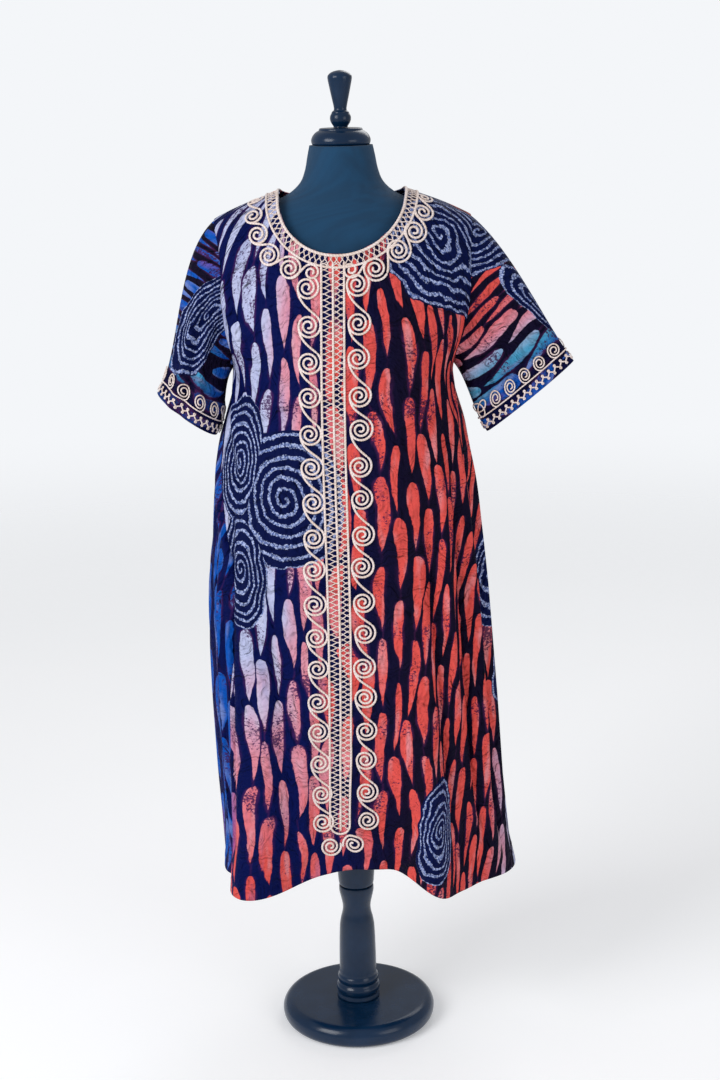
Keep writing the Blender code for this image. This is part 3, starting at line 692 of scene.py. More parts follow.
def lengths_along(grid, axis):
    """Running length of a grid's lines along one axis, from zero."""
    steps = np.linalg.norm(np.diff(grid, axis=axis), axis=-1)
    first = np.zeros_like(np.take(steps, [0], axis=axis))
    return np.concatenate([first, np.cumsum(steps, axis=axis)], axis=axis)


def round_places(grid):
    """Places round and along a closed grid, in metres."""
    wrapped = wrap(grid)
    return np.stack([lengths_along(wrapped, 1), lengths_along(wrapped, 0)], -1)


def hem_groove(rise):
    """Depth of the groove that marks the hem's turn-up, a bell round its height."""
    return np.exp(-(((rise - HEM_TURN_UP) / HEM_GROOVE_WIDTH) ** 2)) * HEM_GROOVE


def panel_sheet(front):
    """Points and cloth places of a panel: across from its middle, up from the hem."""
    across = panel_columns()[None, :]
    skirt = skirt_points(across, np.linspace(0.0, 1.0, SKIRT_ROWS + 1)[:-1, None], front)
    yoke = yoke_points(across, np.linspace(0.0, 1.0, YOKE_ROWS + 1)[:, None], front)
    grid = np.concatenate([skirt, yoke])
    run = lengths_along(grid, 1)
    middle = run[:, grid.shape[1] // 2][:, None]
    rise = lengths_along(grid, 0)
    out = facing(normals_of(grid), np.array([0.0, -1.0 if front else 1.0, 0.0]))
    places = np.stack([run - middle, rise + grid[:1, :, 2]], -1)
    return grid - out * hem_groove(rise)[..., None], places


def armhole_loop(side):
    """The armhole's edge as a closed loop: up the front from the underarm, down the back."""
    share = np.linspace(0.0, 1.0, YOKE_ROWS + 1)
    front = yoke_points(np.full(YOKE_ROWS + 1, side), share, True)
    back = yoke_points(np.full(YOKE_ROWS + 1, side), share, False)
    return np.concatenate([front, back[-2:0:-1]])


def sleeve_sheet(name):
    """Points, cloth places and outward normals of a sleeve, armhole to oval hem.

    One cubic curve runs from each point of the armhole to the hem's oval, and
    creases move the points along the normals. Places are the distance from the
    hem and the distance round from the underarm.
    """
    sleeve = SLEEVES[name]
    side = sleeve["side"]
    start = armhole_loop(side)
    count = len(start)
    turn = 2 * math.pi * np.arange(count) / count
    top = (1 - np.cos(turn))[:, None] / 2
    under = 1 - top
    rise = sleeve["hem_rise"]
    outward = np.array([side * math.cos(rise), 0.0, math.sin(rise)])
    down = np.array([side * math.sin(rise), 0.0, -math.cos(rise)])
    oval = -np.cos(turn)[:, None] * outward * sleeve["half_wide"]
    oval = oval - np.sin(turn)[:, None] * np.array([0.0, 1.0, 0.0]) * sleeve["half_deep"]
    end = np.array(sleeve["hem_middle"]) + oval
    leave_top = np.array([side * SLEEVE_TOP_LEAVES[0], 0.0, SLEEVE_TOP_LEAVES[1]])
    leave_under = np.array([side * SLEEVE_UNDER_LEAVES[0], 0.0, SLEEVE_UNDER_LEAVES[1]])
    leave = leave_top * top + leave_under * under
    arrive = down * (SLEEVE_TOP_ARRIVES * top + SLEEVE_UNDER_ARRIVES * under)
    share = np.linspace(0.0, 1.0, SLEEVE_ROWS + 1)
    t = share[:, None, None]
    grid = (
        (1 + 2 * t) * (1 - t) ** 2 * start
        + t * (1 - t) ** 2 * leave
        + t ** 2 * (3 - 2 * t) * end
        - t ** 2 * (1 - t) * arrive
    )
    out = facing(normals_of(grid, closed=True), grid - grid.mean(axis=1, keepdims=True))
    round_sleeve = lengths_along(wrap(grid), 1)
    length = lengths_along(grid, 0)
    from_hem = length[-1:] - length
    girth = round_sleeve[:, -1].mean()
    whole = length[-1].mean()
    across = (turn / (2 * math.pi) * girth)[None, :]
    push = np.zeros(grid.shape[:2])
    for turn_a, share_a, turn_b, share_b, reach, width in SLEEVE_CREASES[name]:
        line_a = (turn_a / 360.0 * girth, share_a * whole)
        line_b = (turn_b / 360.0 * girth, share_b * whole)
        push += ridge(across, share[:, None] * whole, line_a, line_b, reach, width)
    push -= hem_groove(from_hem)
    push *= np.clip(share[:, None] / SLEEVE_CREASES_START, 0.0, 1.0)
    return grid + out * push[..., None], np.stack([wrap(from_hem), round_sleeve], -1), out


# ------------------------------------------------------------------ meshes

def grid_faces(rows, columns, closed=False):
    """Four corners of each face of a grid, as indices, row by row."""
    row = np.arange(rows - 1)[:, None]
    column = np.arange(columns if closed else columns - 1)[None, :]
    after = (column + 1) % columns
    low = row * columns
    high = low + columns
    return np.stack([low + column, low + after, high + after, high + column], -1).reshape(-1, 4)


def add_mesh(name, points, faces, places, material):
    """One smooth mesh object from arrays; places holds two numbers for each face corner."""
    mesh = bpy.data.meshes.new(name)
    mesh.vertices.add(len(points))
    mesh.vertices.foreach_set("co", np.ascontiguousarray(points, np.float32).ravel())
    mesh.loops.add(faces.size)
    mesh.loops.foreach_set("vertex_index", np.ascontiguousarray(faces, np.int32).ravel())
    mesh.polygons.add(len(faces))
    mesh.polygons.foreach_set("loop_start", np.arange(len(faces), dtype=np.int32) * faces.shape[1])
    mesh.update(calc_edges=True)
    layer = mesh.uv_layers.new(name="cloth")
    layer.data.foreach_set("uv", np.ascontiguousarray(places, np.float32).ravel())
    mesh.validate()
    mesh.shade_smooth()
    mesh.materials.append(material)
    made = bpy.data.objects.new(name, mesh)
    bpy.context.scene.collection.objects.link(made)
    return made


def add_grid(name, grid, places, material, closed, flip):
    """A mesh object from a grid of points and the places of its corners."""
    faces = grid_faces(*grid.shape[:2], closed)
    corners = grid_faces(*places.shape[:2])
    if flip:
        faces = faces[:, ::-1]
        corners = corners[:, ::-1]
    flat_places = places.reshape(-1, 2)[corners.ravel()]
    return add_mesh(name, grid.reshape(-1, 3), faces, flat_places, material)


def add_cloth(name, grid, places, material, closed=False, flip=False):
    """A cloth piece: the grid as an open sheet, with its wall outwards by Solidify."""
    made = add_grid(name, grid, places, material, closed, flip)
    wall = made.modifiers.new("wall", "SOLIDIFY")
    wall.thickness = CLOTH_WALL
    wall.offset = 1.0
    wall.use_even_offset = False
    wall.thickness_clamp = 0.0
    return made


def cord_arrays(path, normal, radius, flatness, sides=6):
    """Vertices, faces and places of a cord along each path in a stack of paths.

    path and normal are (cords, points, 3). Each ring is an oval: across the
    path by the radius, along the surface normal by the radius times flatness.
    Places are the length along the cord and the share of the way round it.
    """
    tangent = unit(np.gradient(path, axis=1))
    across = unit(np.cross(tangent, normal))
    up = np.cross(across, tangent)
    turn = 2 * math.pi * (np.arange(sides) + 0.5) / sides
    cords, count = path.shape[:2]
    swell = np.ones(count)
    swell[[0, -1]] = CORD_END_SWELL
    swell = swell[None, :, None, None]
    cosine = (np.cos(turn) * radius)[None, None, :, None] * swell
    sine = (np.sin(turn) * radius * flatness)[None, None, :, None] * swell
    rings = path[:, :, None] + across[:, :, None] * cosine + up[:, :, None] * sine
    faces = grid_faces(count, sides, closed=True)
    caps = np.array([[0, 3, 2, 1], [0, 5, 4, 3]])
    last = (count - 1) * sides
    faces = np.concatenate([faces, caps, caps[:, ::-1] + last])
    offsets = (np.arange(cords) * count * sides)[:, None, None]
    length = lengths_along(path, 1)
    round_share = np.arange(sides + 1) / sides
    wrapped = np.stack(np.broadcast_arrays(length[:, :, None], round_share[None, None, :]), -1)
    corners = grid_faces(count, sides + 1)
    side_places = wrapped.reshape(cords, -1, 2)[:, corners.ravel()]
    cap_places = np.zeros((cords, 16, 2))
    places = np.concatenate([side_places, cap_places], axis=1)
    return rings.reshape(-1, 3), (faces[None] + offsets).reshape(-1, 4), places.reshape(-1, 2)


def add_cords(name, bundles, material):
    """Join bundles of cords, each (path, normal, radius, flatness), into one object."""
    points, faces, places = [], [], []
    start = 0
    for bundle in bundles:
        made_points, made_faces, made_places = cord_arrays(*bundle)
        points.append(made_points)
        faces.append(made_faces + start)
        places.append(made_places)
        start += len(made_points)
    return add_mesh(name, *(np.concatenate(part) for part in (points, faces, places)), material)


def ride_on(made, slot, *nodes):
    """Give a piece its body and hide the solids that it stands for. The slot argument is not used."""
    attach(made, BODY)
    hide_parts(*nodes)
    return made


# ------------------------------------------------------------------ node materials

class Value:
    """A shader number that takes arithmetic: each operator adds one Math node."""

    def __init__(self, tree, socket):
        self.tree = tree
        self.socket = socket

    def math(self, operation, *operands):
        """A Math node of the operands, which are values or plain numbers."""
        node = self.tree.nodes.new("ShaderNodeMath")
        node.operation = operation
        for place, operand in zip(node.inputs, operands):
            if isinstance(operand, Value):
                self.tree.links.new(operand.socket, place)
            else:
                place.default_value = float(operand)
        return Value(self.tree, node.outputs[0])

    def __add__(self, other):
        return self.math("ADD", self, other)

    def __radd__(self, other):
        return self.math("ADD", other, self)

    def __sub__(self, other):
        return self.math("SUBTRACT", self, other)

    def __rsub__(self, other):
        return self.math("SUBTRACT", other, self)

    def __mul__(self, other):
        return self.math("MULTIPLY", self, other)

    def __rmul__(self, other):
        return self.math("MULTIPLY", other, self)

    def __truediv__(self, other):
        return self.math("DIVIDE", self, other)

    def __pow__(self, other):
        return self.math("POWER", self, other)

    def abs(self):
        return self.math("ABSOLUTE", self)

    def floor(self):
        return self.math("FLOOR", self)

    def fraction(self):
        return self.math("FRACT", self)

    def sine(self):
        return self.math("SINE", self)

    def low(self, other):
        return self.math("MINIMUM", self, other)

    def high(self, other):
        return self.math("MAXIMUM", self, other)

    def ramp(self, start, end):
        """Smooth step from 0 at start to 1 at end."""
        node = self.tree.nodes.new("ShaderNodeMapRange")
        node.interpolation_type = "SMOOTHSTEP"
        self.tree.links.new(self.socket, node.inputs["Value"])
        rising = end > start
        node.inputs["From Min"].default_value = min(start, end)
        node.inputs["From Max"].default_value = max(start, end)
        node.inputs["To Min"].default_value = 0.0 if rising else 1.0
        node.inputs["To Max"].default_value = 1.0 if rising else 0.0
        return Value(self.tree, node.outputs["Result"])


class Finish:
    """A material being made: its Principled shader and ways to add nodes."""

    def __init__(self, name):
        self.material = bpy.data.materials.new(name)
        self.material.use_nodes = True
        self.tree = self.material.node_tree
        self.shader = self.tree.nodes["Principled BSDF"]

    def node(self, kind, settings=None, sockets=None):
        """Any node: its type, its settings, and the values or links of its sockets."""
        node = self.tree.nodes.new(kind)
        for key, value in (settings or {}).items():
            setattr(node, key, value)
        for key, value in (sockets or {}).items():
            self.join(value, node.inputs[key])
        return node

    def join(self, value, socket):
        """Link or set one socket."""
        if isinstance(value, Value):
            self.tree.links.new(value.socket, socket)
        elif isinstance(value, bpy.types.NodeSocket):
            self.tree.links.new(value, socket)
        else:
            socket.default_value = value

    def value(self, socket):
        return Value(self.tree, socket)

    def vector(self, x, y, z=0.0):
        made = self.node("ShaderNodeCombineXYZ", sockets={"X": x, "Y": y, "Z": z})
        return made.outputs["Vector"]

    def noise(self, vector, scale, detail=2.0, rough=0.5):
        sockets = {"Vector": vector, "Scale": scale, "Detail": detail, "Roughness": rough}
        return self.value(self.node("ShaderNodeTexNoise", sockets=sockets).outputs["Fac"])

    def chance(self, x, y):
        """A random number from 0 to 1 for each pair of whole numbers."""
        settings = {"noise_dimensions": "2D"}
        node = self.node("ShaderNodeTexWhiteNoise", settings, {"Vector": self.vector(x, y)})
        return self.value(node.outputs["Value"])

    def blend(self, share, first, second):
        """A colour mixed from the first to the second by a share."""
        node = self.node("ShaderNodeMix", {"data_type": "RGBA", "clamp_factor": True})
        colours = [socket for socket in node.inputs if socket.type == "RGBA"]
        factor = node.inputs["Factor"]
        self.join(share, factor)
        for socket, colour in zip(colours, (first, second)):
            self.join((*colour, 1.0) if isinstance(colour, tuple) else colour, socket)
        return next(socket for socket in node.outputs if socket.type == "RGBA")

    def bump(self, height, distance, strength=1.0, under=None):
        sockets = {"Height": height, "Distance": distance, "Strength": strength}
        if under is not None:
            sockets["Normal"] = under
        return self.node("ShaderNodeBump", sockets=sockets).outputs["Normal"]

    def cloth_places(self):
        """The piece's own cloth places, across and up, in metres."""
        places = self.node("ShaderNodeUVMap", {"uv_map": "cloth"}).outputs["UV"]
        parts = self.node("ShaderNodeSeparateXYZ", sockets={"Vector": places})
        return self.value(parts.outputs["X"]), self.value(parts.outputs["Y"])

    def cracks(self, vector):
        """Distance from the nearest line of a net of random cells."""
        settings = {"feature": "DISTANCE_TO_EDGE"}
        node = self.node("ShaderNodeTexVoronoi", settings, {"Vector": vector, "Scale": 1.0})
        return self.value(node.outputs["Distance"])

    def math(self, operation, first, second):
        """A Math node that the Value class has no method for."""
        node = self.node("ShaderNodeMath", {"operation": operation}, {0: first, 1: second})
        return self.value(node.outputs[0])


def carrot_cells(finish, across, up, width, length, seed):
    """How far inside a cell a place is, in cell widths; negative is the resist ground.

    Cells stand in staggered columns. Each has a round head and a long tail:
    its half width follows b^0.75 (1-b)^0.3 from tail to head, scaled to 1 at
    its widest. Columns stand closer beyond CLOSER_FROM. The nearest three
    columns are compared, and a line of ground stays open where two cells meet.
    """
    wander = finish.noise(finish.vector(across * 8.0, up * 4.0, seed), 1.0, 2.0)
    fray = finish.noise(finish.vector(across * 110.0, up * 38.0, seed), 1.0, 3.0, 0.6)
    closer = (across - CLOSER_FROM).high(0.0) * CLOSER_RATE
    column = (across + closer) / width + (wander - 0.5) * 2.4 + (fray - 0.5) * 0.24 + seed
    row = up / length + (wander - 0.5) * 0.60 + (fray - 0.5) * 0.05
    near = column.floor()
    insides = []
    for shift in (-1.0, 0.0, 1.0):
        index = near + shift
        luck = finish.chance(index, seed)
        run = row + index * 0.5 + luck * 0.34
        cell = run.floor()
        size = finish.chance(index, cell + 7.0)
        lean = finish.chance(index + 3.0, cell)
        tall = run.fraction() / (0.84 + size * 0.16)
        body = (tall.low(1.0) ** 0.75) * ((1.0 - tall).high(0.0) ** 0.30) * 1.76
        half = body * (0.34 + size * 0.19)
        sway = (tall * 3.1).sine() * (lean - 0.5) * 0.50
        off = (column - index - 0.5 - sway - (luck - 0.5) * 0.22).abs()
        insides.append(half - off)
    first, second, third = insides
    most = first.high(second).high(third)
    least = first.low(second).low(third)
    middle = first + second + third - most - least
    return most.low((most - middle) * 0.75) - 0.040


def medallion_rings(finish, across, up, medallions, seed):
    """Ring number and inside share of the medallion that covers a place.

    Each one is an oval with a ragged edge; its ring number grows outwards and
    winds slowly, so the rings read as a drawn spiral.
    """
    rag = finish.noise(finish.vector(across * 22.0, up * 22.0, seed + 4.0), 1.0, 2.0)
    fine = finish.noise(finish.vector(across * 90.0, up * 90.0, seed + 9.0), 1.0, 2.0)
    best, ring = None, None
    for middle_across, middle_up, wide, tall, rings, ragged in medallions:
        off_x = (across - middle_across) * (1.0 / wide)
        off_y = (up - middle_up) * (1.0 / tall)
        square = (off_x.abs() ** 2.3 + off_y.abs() ** 2.3) ** (1.0 / 2.3)
        reach = square + (rag - 0.5) * (ragged * 5.0) + (fine - 0.5) * 0.035
        winding = finish.math("ARCTAN2", off_y, off_x) * (1.0 / (2.0 * math.pi))
        inside = 1.0 - reach
        number = reach * rings + winding
        if best is None:
            best, ring = inside, number
            continue
        wins = finish.math("GREATER_THAN", inside, best)
        ring = ring + (number - ring) * wins
        best = best.high(inside)
    return best, ring


def zone_dyes(finish, zones, across, up, drift):
    """The zones' dyes painted over each other, with soft edges that wander."""
    colour = DYES[zones[0][0]]
    for dye, left, right, low, high, soft in zones[1:]:
        share = None
        moved_across = across + drift * (soft * ZONE_WANDER)
        moved_up = up + drift * (soft * ZONE_WANDER)
        edges = (
            (moved_across, left, 1.0), (moved_across, right, -1.0),
            (moved_up, low, 1.0), (moved_up, high, -1.0),
        )
        for place, edge, sense in edges:
            if abs(edge) >= FAR:
                continue
            part = place.ramp(edge - soft * sense, edge + soft * sense)
            share = part if share is None else share * part
        colour = finish.blend(1.0 if share is None else share, colour, DYES[dye])
    return colour


def ring_dyes(finish, ring, across, up, drift, seed):
    """Pale rings on a dark ground, broken by flecks and fine cracks in the wax."""
    swing = (ring * (2.0 * math.pi)).sine() - 0.34
    place = finish.vector(across * 150.0 + drift * 4.0, up * 150.0 + drift * 4.0, seed)
    crack = finish.cracks(place).ramp(0.075, 0.01)
    broken = finish.noise(finish.vector(across * 260.0, up * 260.0, seed + 8.0), 1.0, 2.0, 0.7)
    light = (swing + (broken - 0.5) * 2.2).ramp(0.02, 0.34) * (1.0 - crack * 0.8)
    tone = finish.blend(broken.ramp(0.40, 0.62), DYES["ring_mid"], DYES["ring_light"])
    return finish.blend(light, DYES["ring_ground"], tone)


def cloth_bumps(finish, across, up, drift, thread_spacing, seed):
    """The cotton's weave, its soft puckers and its sharper pressed wrinkles."""
    turn = 2.0 * math.pi / thread_spacing
    weave = (across * turn).sine() * (up * turn).sine() * 0.5
    slub = finish.noise(finish.vector(across * 900.0, up * 260.0, seed), 1.0, 2.0)
    woven = finish.bump(weave + slub, 0.00012, 0.6)
    puckers = finish.noise(finish.vector(across * 24.0, up * 17.0, seed + 3.0), 1.0, 3.0, 0.6)
    soft = finish.bump(puckers, 0.0240, 1.0, woven)
    place = finish.vector(across * 8.0 + drift * 5.0, up * 38.0 + drift * 9.0, seed)
    pressed = finish.noise(place, 1.0, 2.0)
    sharp = 1.0 - ((pressed - 0.5).abs() * 5.0).low(1.0)
    return finish.bump(sharp, 0.0050, 0.9, soft)


def print_finish(name, zones, medallions, settings, seed):
    """Wax-print cotton: dyed zones, carrot cells on navy, ringed medallions, wax cracks."""
    finish = Finish(name)
    across, up = finish.cloth_places()
    drift = finish.noise(finish.vector(across * 11.0, up * 7.0, seed + 1.0), 1.0, 3.0) - 0.5
    streak = finish.noise(finish.vector(across * 52.0, up * 12.0, seed + 2.0), 1.0, 2.0)
    colour = zone_dyes(finish, zones, across, up, drift)
    pale_share = streak.ramp(0.50, 0.72) * 0.50
    colour = finish.blend(pale_share, colour, finish.blend(0.45, colour, DYES["pale"]))
    deep_share = (1.0 - streak).ramp(0.52, 0.74) * 0.55
    far_side = across.ramp(-0.10, 0.12)
    deep = finish.blend(far_side, DYES["ring_mid"], DYES["rust"])
    colour = finish.blend(deep_share, colour, finish.blend(0.55, colour, deep))
    inside = carrot_cells(finish, across, up, settings.cell_width, settings.cell_length, seed)
    patch = finish.noise(finish.vector(across * 15.0, up * 13.0, seed + 5.0), 1.0, 2.0)
    chips = finish.noise(finish.vector(across * 210.0, up * 260.0, seed + 6.0), 1.0, 3.0, 0.62)
    chipped = (chips + (patch - 0.5) * 1.05).ramp(0.63, 0.68)
    crack_place = finish.vector(across * 60.0 + drift * 2.0, up * 85.0 + drift * 3.0, seed)
    crack = finish.cracks(crack_place).ramp(0.035, 0.0) * patch.ramp(0.46, 0.62)
    light = inside.ramp(0.0, 0.05) * (1.0 - chipped * 0.88) * (1.0 - crack * 0.55)
    ground = finish.blend(far_side, DYES["navy"], DYES["plum_navy"])
    halo = inside.ramp(-0.16, 0.02) * patch.ramp(0.42, 0.60) * 0.45
    colour = finish.blend(light, finish.blend(halo, ground, DYES["plum"]), colour)
    best, ring = medallion_rings(finish, across, up, medallions, seed)
    rings = ring_dyes(finish, ring, across, up, drift, seed)
    colour = finish.blend(best.ramp(-0.004, 0.012), colour, rings)
    shader = finish.shader
    finish.join(colour, shader.inputs["Base Color"])
    finish.join(0.62 + (1.0 - light) * 0.06, shader.inputs["Roughness"])
    shader.inputs["Specular IOR Level"].default_value = 0.06
    normal = cloth_bumps(finish, across, up, drift, settings.thread_spacing, seed)
    finish.join(normal, shader.inputs["Normal"])
    return finish.material


def cord_finish(settings):
    """Couched cord: two plies of cream and pale gold, twisted, with painted shade in the grooves
    between the plies and a soft sheen.
    """
    finish = Finish(CORD_MATERIAL)
    length, share = finish.cloth_places()
    lay = (length * (2.0 * math.pi / settings.ply_length) + share * (4.0 * math.pi)).sine()
    fuzz = finish.noise(finish.vector(length * 900.0, share * 9.0), 1.0, 2.0)
    shade = finish.noise(finish.vector(length * 40.0, share * 0.4), 1.0, 2.0)
    pale = from_screen(246, 232, 229)
    gold = from_screen(230, 209, 197)
    colour = finish.blend(shade.ramp(0.35, 0.68), pale, gold)
    # Painted shade: the cord darkens to a dusky tan where its twist sinks between the two plies.
    colour = finish.blend(lay.ramp(-0.2, -0.95) * 0.45, colour, from_screen(190, 162, 148))
    finish.join(colour, finish.shader.inputs["Base Color"])
    finish.join(0.46 + fuzz * 0.16, finish.shader.inputs["Roughness"])
    finish.shader.inputs["Sheen Weight"].default_value = 0.15
    finish.join(finish.bump(lay * 0.5 + fuzz * 0.3, 0.0004, 0.8), finish.shader.inputs["Normal"])
    return finish.material


def jersey_finish(colour):
    """Fine blue-black jersey: rows of tiny stitches, matt, with a slight bloom."""
    finish = Finish("jersey_knit")
    across, up = finish.cloth_places()
    rib = (across * (2.0 * math.pi / JERSEY_RIB)).sine()
    course = (up * (2.0 * math.pi / JERSEY_COURSE)).sine()
    cloud = finish.noise(finish.vector(across * 30.0, up * 30.0), 1.0, 3.0)
    deep = tuple(channel * 0.80 for channel in colour)
    tone = finish.blend(cloud.ramp(0.3, 0.7), deep, tuple(colour))
    finish.join(tone, finish.shader.inputs["Base Color"])
    finish.join(0.78 + cloud * 0.14, finish.shader.inputs["Roughness"])
    finish.shader.inputs["Specular IOR Level"].default_value = 0.25
    finish.shader.inputs["Sheen Weight"].default_value = 0.10
    finish.join(finish.bump(rib * course, 0.00012, 0.5), finish.shader.inputs["Normal"])
    return finish.material


def lacquer_finish(colour):
    """Gloss blue-black lacquer on turned wood, with faint turning marks and dust."""
    finish = Finish("lacquered_wood")
    place = finish.node("ShaderNodeTexCoord").outputs["Object"]
    parts = finish.node("ShaderNodeSeparateXYZ", sockets={"Vector": place})
    height = finish.value(parts.outputs["Z"])
    cloud = finish.noise(place, 24.0, 3.0)
    dust = finish.noise(place, 700.0, 2.0, 0.7).ramp(0.66, 0.78)
    soft = tuple(channel * 1.5 + 0.004 for channel in colour)
    tone = finish.blend(cloud.ramp(0.35, 0.75) * 0.6 + dust * 0.25, tuple(colour), soft)
    finish.join(tone, finish.shader.inputs["Base Color"])
    finish.join(0.16 + cloud * 0.10 + dust * 0.12, finish.shader.inputs["Roughness"])
    finish.shader.inputs["Specular IOR Level"].default_value = 0.34
    marks = (height * (2.0 * math.pi / TURNING_MARKS)).sine() + finish.noise(place, 60.0, 3.0) * 2.0
    finish.join(finish.bump(marks, 0.00005, 0.35), finish.shader.inputs["Normal"])
    return finish.material


def cord_material(settings):
    """The material that all the cords share, made once. The frame has no such name."""
    return bpy.data.materials.get(CORD_MATERIAL) or cord_finish(settings)


# ------------------------------------------------------------------ cords on the cloth

def front_frame(x, z):
    """Outer point and outward normal of the front at a place across and a height."""
    step = 0.0008
    here = dress_surface(angle_at(x, z), z)
    right = dress_surface(angle_at(x + step, z), z)
    above = dress_surface(angle_at(x, z + step), z + step)
    normal = unit(np.cross(right - here, above - here))
    return here + normal * CLOTH_WALL, normal


def lay_on(points, outer, normals, near=6):
    """Drop points onto a grid of outer points: the planes of the nearest ones, averaged."""
    shape = points.shape
    flat = points.reshape(-1, 3)
    low = flat.min(axis=0) - CLOTH_REACH
    high = flat.max(axis=0) + CLOTH_REACH
    sheet = outer.reshape(-1, 3)
    keep = np.all((sheet > low) & (sheet < high), axis=1)
    sheet = sheet[keep]
    sheet_normals = normals.reshape(-1, 3)[keep]
    laid, upward = [], []
    for some in np.array_split(flat, max(1, len(flat) // LAY_AT_ONCE)):
        gaps = np.sum((some[:, None] - sheet[None]) ** 2, axis=-1)
        nearest = np.argpartition(gaps, near, axis=1)[:, :near]
        weight = 1.0 / (np.take_along_axis(gaps, nearest, 1) + LEAST_GAP)
        weight = (weight / weight.sum(axis=1, keepdims=True))[..., None]
        normal = unit(np.sum(sheet_normals[nearest] * weight, axis=1))
        plane = np.sum(sheet[nearest] * weight, axis=1)
        drop = np.sum((some - plane) * normal, axis=1, keepdims=True)
        laid.append(some - normal * drop)
        upward.append(normal)
    return np.concatenate(laid).reshape(shape), np.concatenate(upward).reshape(shape)


def scroll_shape(radius, pitch, start, points=110):
    """Flat clockwise spiral, outer end first: the radius falls by one pitch a turn."""
    turns = (radius - SCROLL_CORE) / pitch
    theta = np.linspace(0.0, 2 * math.pi * turns, points)
    reach = radius - pitch * theta / (2 * math.pi)
    angle = math.radians(start) - theta
    return np.stack([reach * np.cos(angle), reach * np.sin(angle)], -1)


def curve_between(start, leave, end, arrive, points=30):
    """Cubic from start, leaving along one arrow, to end, arriving along another."""
    t = np.linspace(0.0, 1.0, points)[:, None]
    start, leave, end, arrive = (np.asarray(v, float) for v in (start, leave, end, arrive))
    return (
        (1 - t) ** 3 * start
        + 3 * (1 - t) ** 2 * t * (start + leave)
        + 3 * (1 - t) * t ** 2 * (end - arrive)
        + t ** 3 * end
    )


def squiggle(start, end, swing, period, curl, samples=12):
    """Looped line from start to end: a sine across, and twice the rate along it."""
    count = max(2, int(round((end - start) / period)))
    t = np.linspace(0.0, count, count * samples + 1)
    run = start + (end - start) * t / count
    return run + curl * np.sin(4 * math.pi * t), swing * np.sin(2 * math.pi * t)


def front_bundle(flat, radius, flatness):
    """A bundle of cords given across and up, laid on the front's outer face."""
    outer, normal = front_frame(flat[..., 0], flat[..., 1])
    return outer + normal * (radius * flatness * CORD_LIFT), normal, radius, flatness


def arrow(degrees, length=1.0):
    """A flat arrow of a length, turned up from across."""
    return length * np.array([math.cos(math.radians(degrees)), math.sin(math.radians(degrees))])


def arm_ends(heading, radius_before, start, radius, pitch, leaves, arrives):
    """The two ends of an arm between scrolls, each from its own scroll's centre.

    The cord leaves the first scroll at a right angle to the heading, by when it
    has wound inwards from the stagger angle, and enters the second at its start.
    Gives the leaving place and pull, then the entering place and pull.
    """
    wound_in = pitch * (SCROLL_STAGGER + 90.0) / 360.0
    return (
        arrow(heading - 90.0, radius_before - wound_in), arrow(heading, leaves),
        arrow(start, radius), arrow(start - 90.0, arrives),
    )


def placket_cords(settings):
    """Bundles of the placket's three straight cords, its closing loop and its squiggles."""
    radius = settings.cord_width / 2
    thin = settings.squiggle_width / 2
    flat = settings.flatness
    left, middle, right = PLACKET_CORDS
    turn_radius = (right - left) / 2
    loop_top = PLACKET_END + turn_radius
    heights = np.linspace(PLACKET_TOP, loop_top, 420)
    line = along(PLACKET, "height", "middle", heights)
    low_middle = along(PLACKET, "height", "middle", np.array(loop_top))
    arc = np.linspace(math.pi, 2 * math.pi, 40)[1:-1]
    arc_x = low_middle + (left + right) / 2 + turn_radius * np.cos(arc)
    arc_z = loop_top + turn_radius * np.sin(arc)
    loop_x = np.concatenate([line + left, arc_x, (line + right)[::-1]])
    loop_z = np.concatenate([heights, arc_z, heights[::-1]])
    centre_z = np.linspace(PLACKET_TOP, PLACKET_END + PLACKET_CENTRE_END, 430)
    centre_x = along(PLACKET, "height", "middle", centre_z) + middle
    bundles = [
        front_bundle(np.stack([loop_x, loop_z], -1)[None], radius, flat),
        front_bundle(np.stack([centre_x, centre_z], -1)[None], radius, flat),
    ]
    period = settings.squiggle_period
    for first, second, curl in zip((left, middle), (middle, right), PLACKET_CURLS):
        gap = (second - first) / 2 - radius * 0.2
        up, side = squiggle(PLACKET_END + PLACKET_MARGIN, PLACKET_TOP, gap, period, curl)
        across = along(PLACKET, "height", "middle", up) + (first + second) / 2 + side
        bundles.append(front_bundle(np.stack([across, up], -1)[None], thin, flat))
    return bundles


def placket_scrolls(settings):
    """Bundles for the column of running scrolls on each side: {side: bundles}."""
    radius = settings.cord_width / 2
    pitch = settings.scroll_pitch
    heights = np.linspace(SCROLL_TOP, SCROLL_BOTTOM, SCROLL_COUNT)
    count = np.arange(SCROLL_COUNT)
    down = -90.0
    start = down + SCROLL_STAGGER
    found = {}
    for side, base_x, sway, higher, end, end_start in SCROLL_COLUMNS:
        centre_x = base_x + SCROLL_WANDER_ACROSS * np.sin(count * sway)
        wander = SCROLL_WANDER_UP * np.sin(count * (sway + 1.1) + 1.0)
        centres = np.stack([centre_x, heights + higher + wander], -1)
        varies = SCROLL_RADIUS_VARIES * np.sin(count * 1.7 + side)
        radii = settings.scroll_radius * (1.0 + varies)
        spirals = [at + scroll_shape(reach, pitch, start) for at, reach in zip(centres, radii)]
        arms = []
        for place in range(1, SCROLL_COUNT):
            leave_at, leave, enter_at, arrive = arm_ends(
                down, radii[place - 1], start, radii[place], pitch, ARM_LEAVES, ARM_ARRIVES
            )
            first, second = centres[place - 1] + leave_at, centres[place] + enter_at
            arms.append(curve_between(first, leave, second, arrive))
        ending = np.array(end) + scroll_shape(END_SCROLL_RADIUS, pitch, end_start)
        found[side] = [
            front_bundle(np.array(paths), radius, settings.flatness)
            for paths in (spirals, arms, [ending])
        ]
    return found


